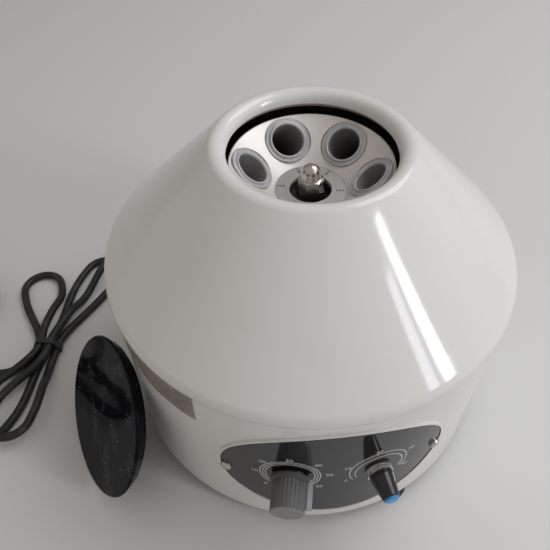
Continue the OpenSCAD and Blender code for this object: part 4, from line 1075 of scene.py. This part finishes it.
# %% Packing tape
def packing_tape():
    f = Finish("packing_tape", (0.42, 0.36, 0.30), 0.24)
    creases = f.noise(f.place(scale=(1, 1, 0.5)), 90, 3)
    f.feed("Base Color", f.mix(creases.above(0.45, 0.2), (0.30, 0.255, 0.215), (0.42, 0.37, 0.32)))
    f.feed("Alpha", 0.38 + 0.16 * creases.above(0.4, 0.3))
    f.feed("Roughness", 0.18 + 0.2 * creases)
    f.bump(creases, 0.0002, 0.6)
    return f.material


PACKING_TAPE = packing_tape()
print("materials in all:", len(bpy.data.materials))


# %% [markdown]
# The nodes that keep their CAD shape are dressed here: the hidden works as well as what
# shows, because the exported model is looked at from every side and in section. Only their
# material slots change, never the mesh.

# %% Dress the CAD nodes
def dress(material, *names):
    for name in names:
        for place in nodes[name].material_slots:
            place.material = material
    print(material.name, "on", ", ".join(names))


dress(WHITE_SHELL, "lower_body")
dress(BLACK_PAINT, "base_plate", "chamber_bowl", "rotor_hub")
dress(HOOD_PAINTED_LIGHT, "chamber_hood")
dress(RUBBER, "feet", "dampers")
dress(ZINC, "foot_screws", "base_screws", "cover_screws", "plate_screws", "panel_screws",
      "timer_nut", "speed_nut")
dress(PHENOLIC, "timer_body", "speed_control", "brush_holders")
dress(GROUND_STEEL, "timer_shaft", "speed_shaft", "spindle", "upper_bearing", "lower_bearing")
dress(ROLLED_STEEL, "motor_plate", "plate_posts", "motor_can")
dress(CAST_METAL, "motor_lower_bell", "motor_upper_bell")
dress(IRON_STACK, "motor_stator")
dress(COPPER, "motor_armature")
dress(BOARD_GREEN, "circuit_board")
dress(NYLON, "board_posts")
dress(PLUG_BLACK, "fuse_holder", "strain_relief", "plug")
dress(PIN_BRASS, "plug_pins")
dress(TIE_BLACK, "cord_tie")
dress(LID_BLACK, "lid")
dress(RUBBED_NUT, "acorn_nut")
dress(CHROME, "speed_knob_ring")
dress(KNOB_BLACK, "speed_knob", "timer_knob_skirt")
dress(CAP_BLUE, "speed_knob_cap")
dress(KNOB_GREY, "timer_knob")
dress(SPUN_DISH, "rotor_dish")
dress(RING_PLATE, "number_ring")
dress(PACKING_TAPE, "edge_tape")

# %% [markdown]
# The floor is a white table and the backdrop a pale wall behind it. Two large planes are
# enough. Their pale matt colours carry the background, and the floor takes the object's
# shadow.

# %% Floor and backdrop
ROOM_SIZE, WALL_Y = 6, 2.6


def plane_at(name, location, turn, colour):
    pick()
    bpy.ops.mesh.primitive_plane_add(size=ROOM_SIZE, location=location, rotation=turn)
    piece = bpy.context.object
    piece.name = name
    piece.data.materials.append(Finish(name + "_paint", colour, 0.5).material)
    print(name, "at", location)


plane_at("floor", (0, 0, TABLE_Z), (0, 0, 0), (0.66, 0.655, 0.65))
plane_at("backdrop", (0, WALL_Y, 0), (math.radians(90), 0, 0), (0.5, 0.49, 0.48))

# %% [markdown]
# Soft studio light. The long bright mark down the right of the cone is a tall window:
# sending the camera's rays back off the cone puts it in front on the right, between 12 and
# 37 degrees up, so a tall narrow lamp stands there, with a dimmer, bluer strip beside it for
# the window's edge. A wide lamp high on the right and the pale world fill the rest, which
# leaves the left side a little darker, as photographed.

# %% Lights
AIM_CONE, AIM_DRUM = (0, 0, 0.14), (0, 0, 0.1)
WORLD_COLOUR, WORLD_LEVEL = (1.0, 0.955, 0.90, 1), 0.41


def soft_lamp(name, at, to, width, height, power, tint):
    """A rectangular lamp in metres and watts, facing a point."""
    data = bpy.data.lights.new(name, "AREA")
    data.shape = "RECTANGLE"
    data.size, data.size_y, data.energy, data.color = width, height, power, tint
    lamp = new_object(name, data)
    lamp.location = at
    lamp.rotation_euler = (Vector(to) - Vector(at)).to_track_quat("-Z", "Y").to_euler()
    print(name, power, "W")


soft_lamp("tall_window", (1.56, -1.03, 0.93), AIM_CONE, 0.20, 0.86, 9, (0.97, 0.98, 1))
soft_lamp("window_edge", (1.40, -1.24, 0.86), AIM_CONE, 0.16, 0.62, 2.2, (0.84, 0.88, 1))
soft_lamp("high_right", (1.0, 0.35, 1.5), AIM_DRUM, 1.1, 1.1, 13, (0.93, 0.96, 1))
world = bpy.context.scene.world or bpy.data.worlds.new("room")
bpy.context.scene.world = world
world.use_nodes = True
world.node_tree.nodes["Background"].inputs["Color"].default_value = WORLD_COLOUR
world.node_tree.nodes["Background"].inputs["Strength"].default_value = WORLD_LEVEL
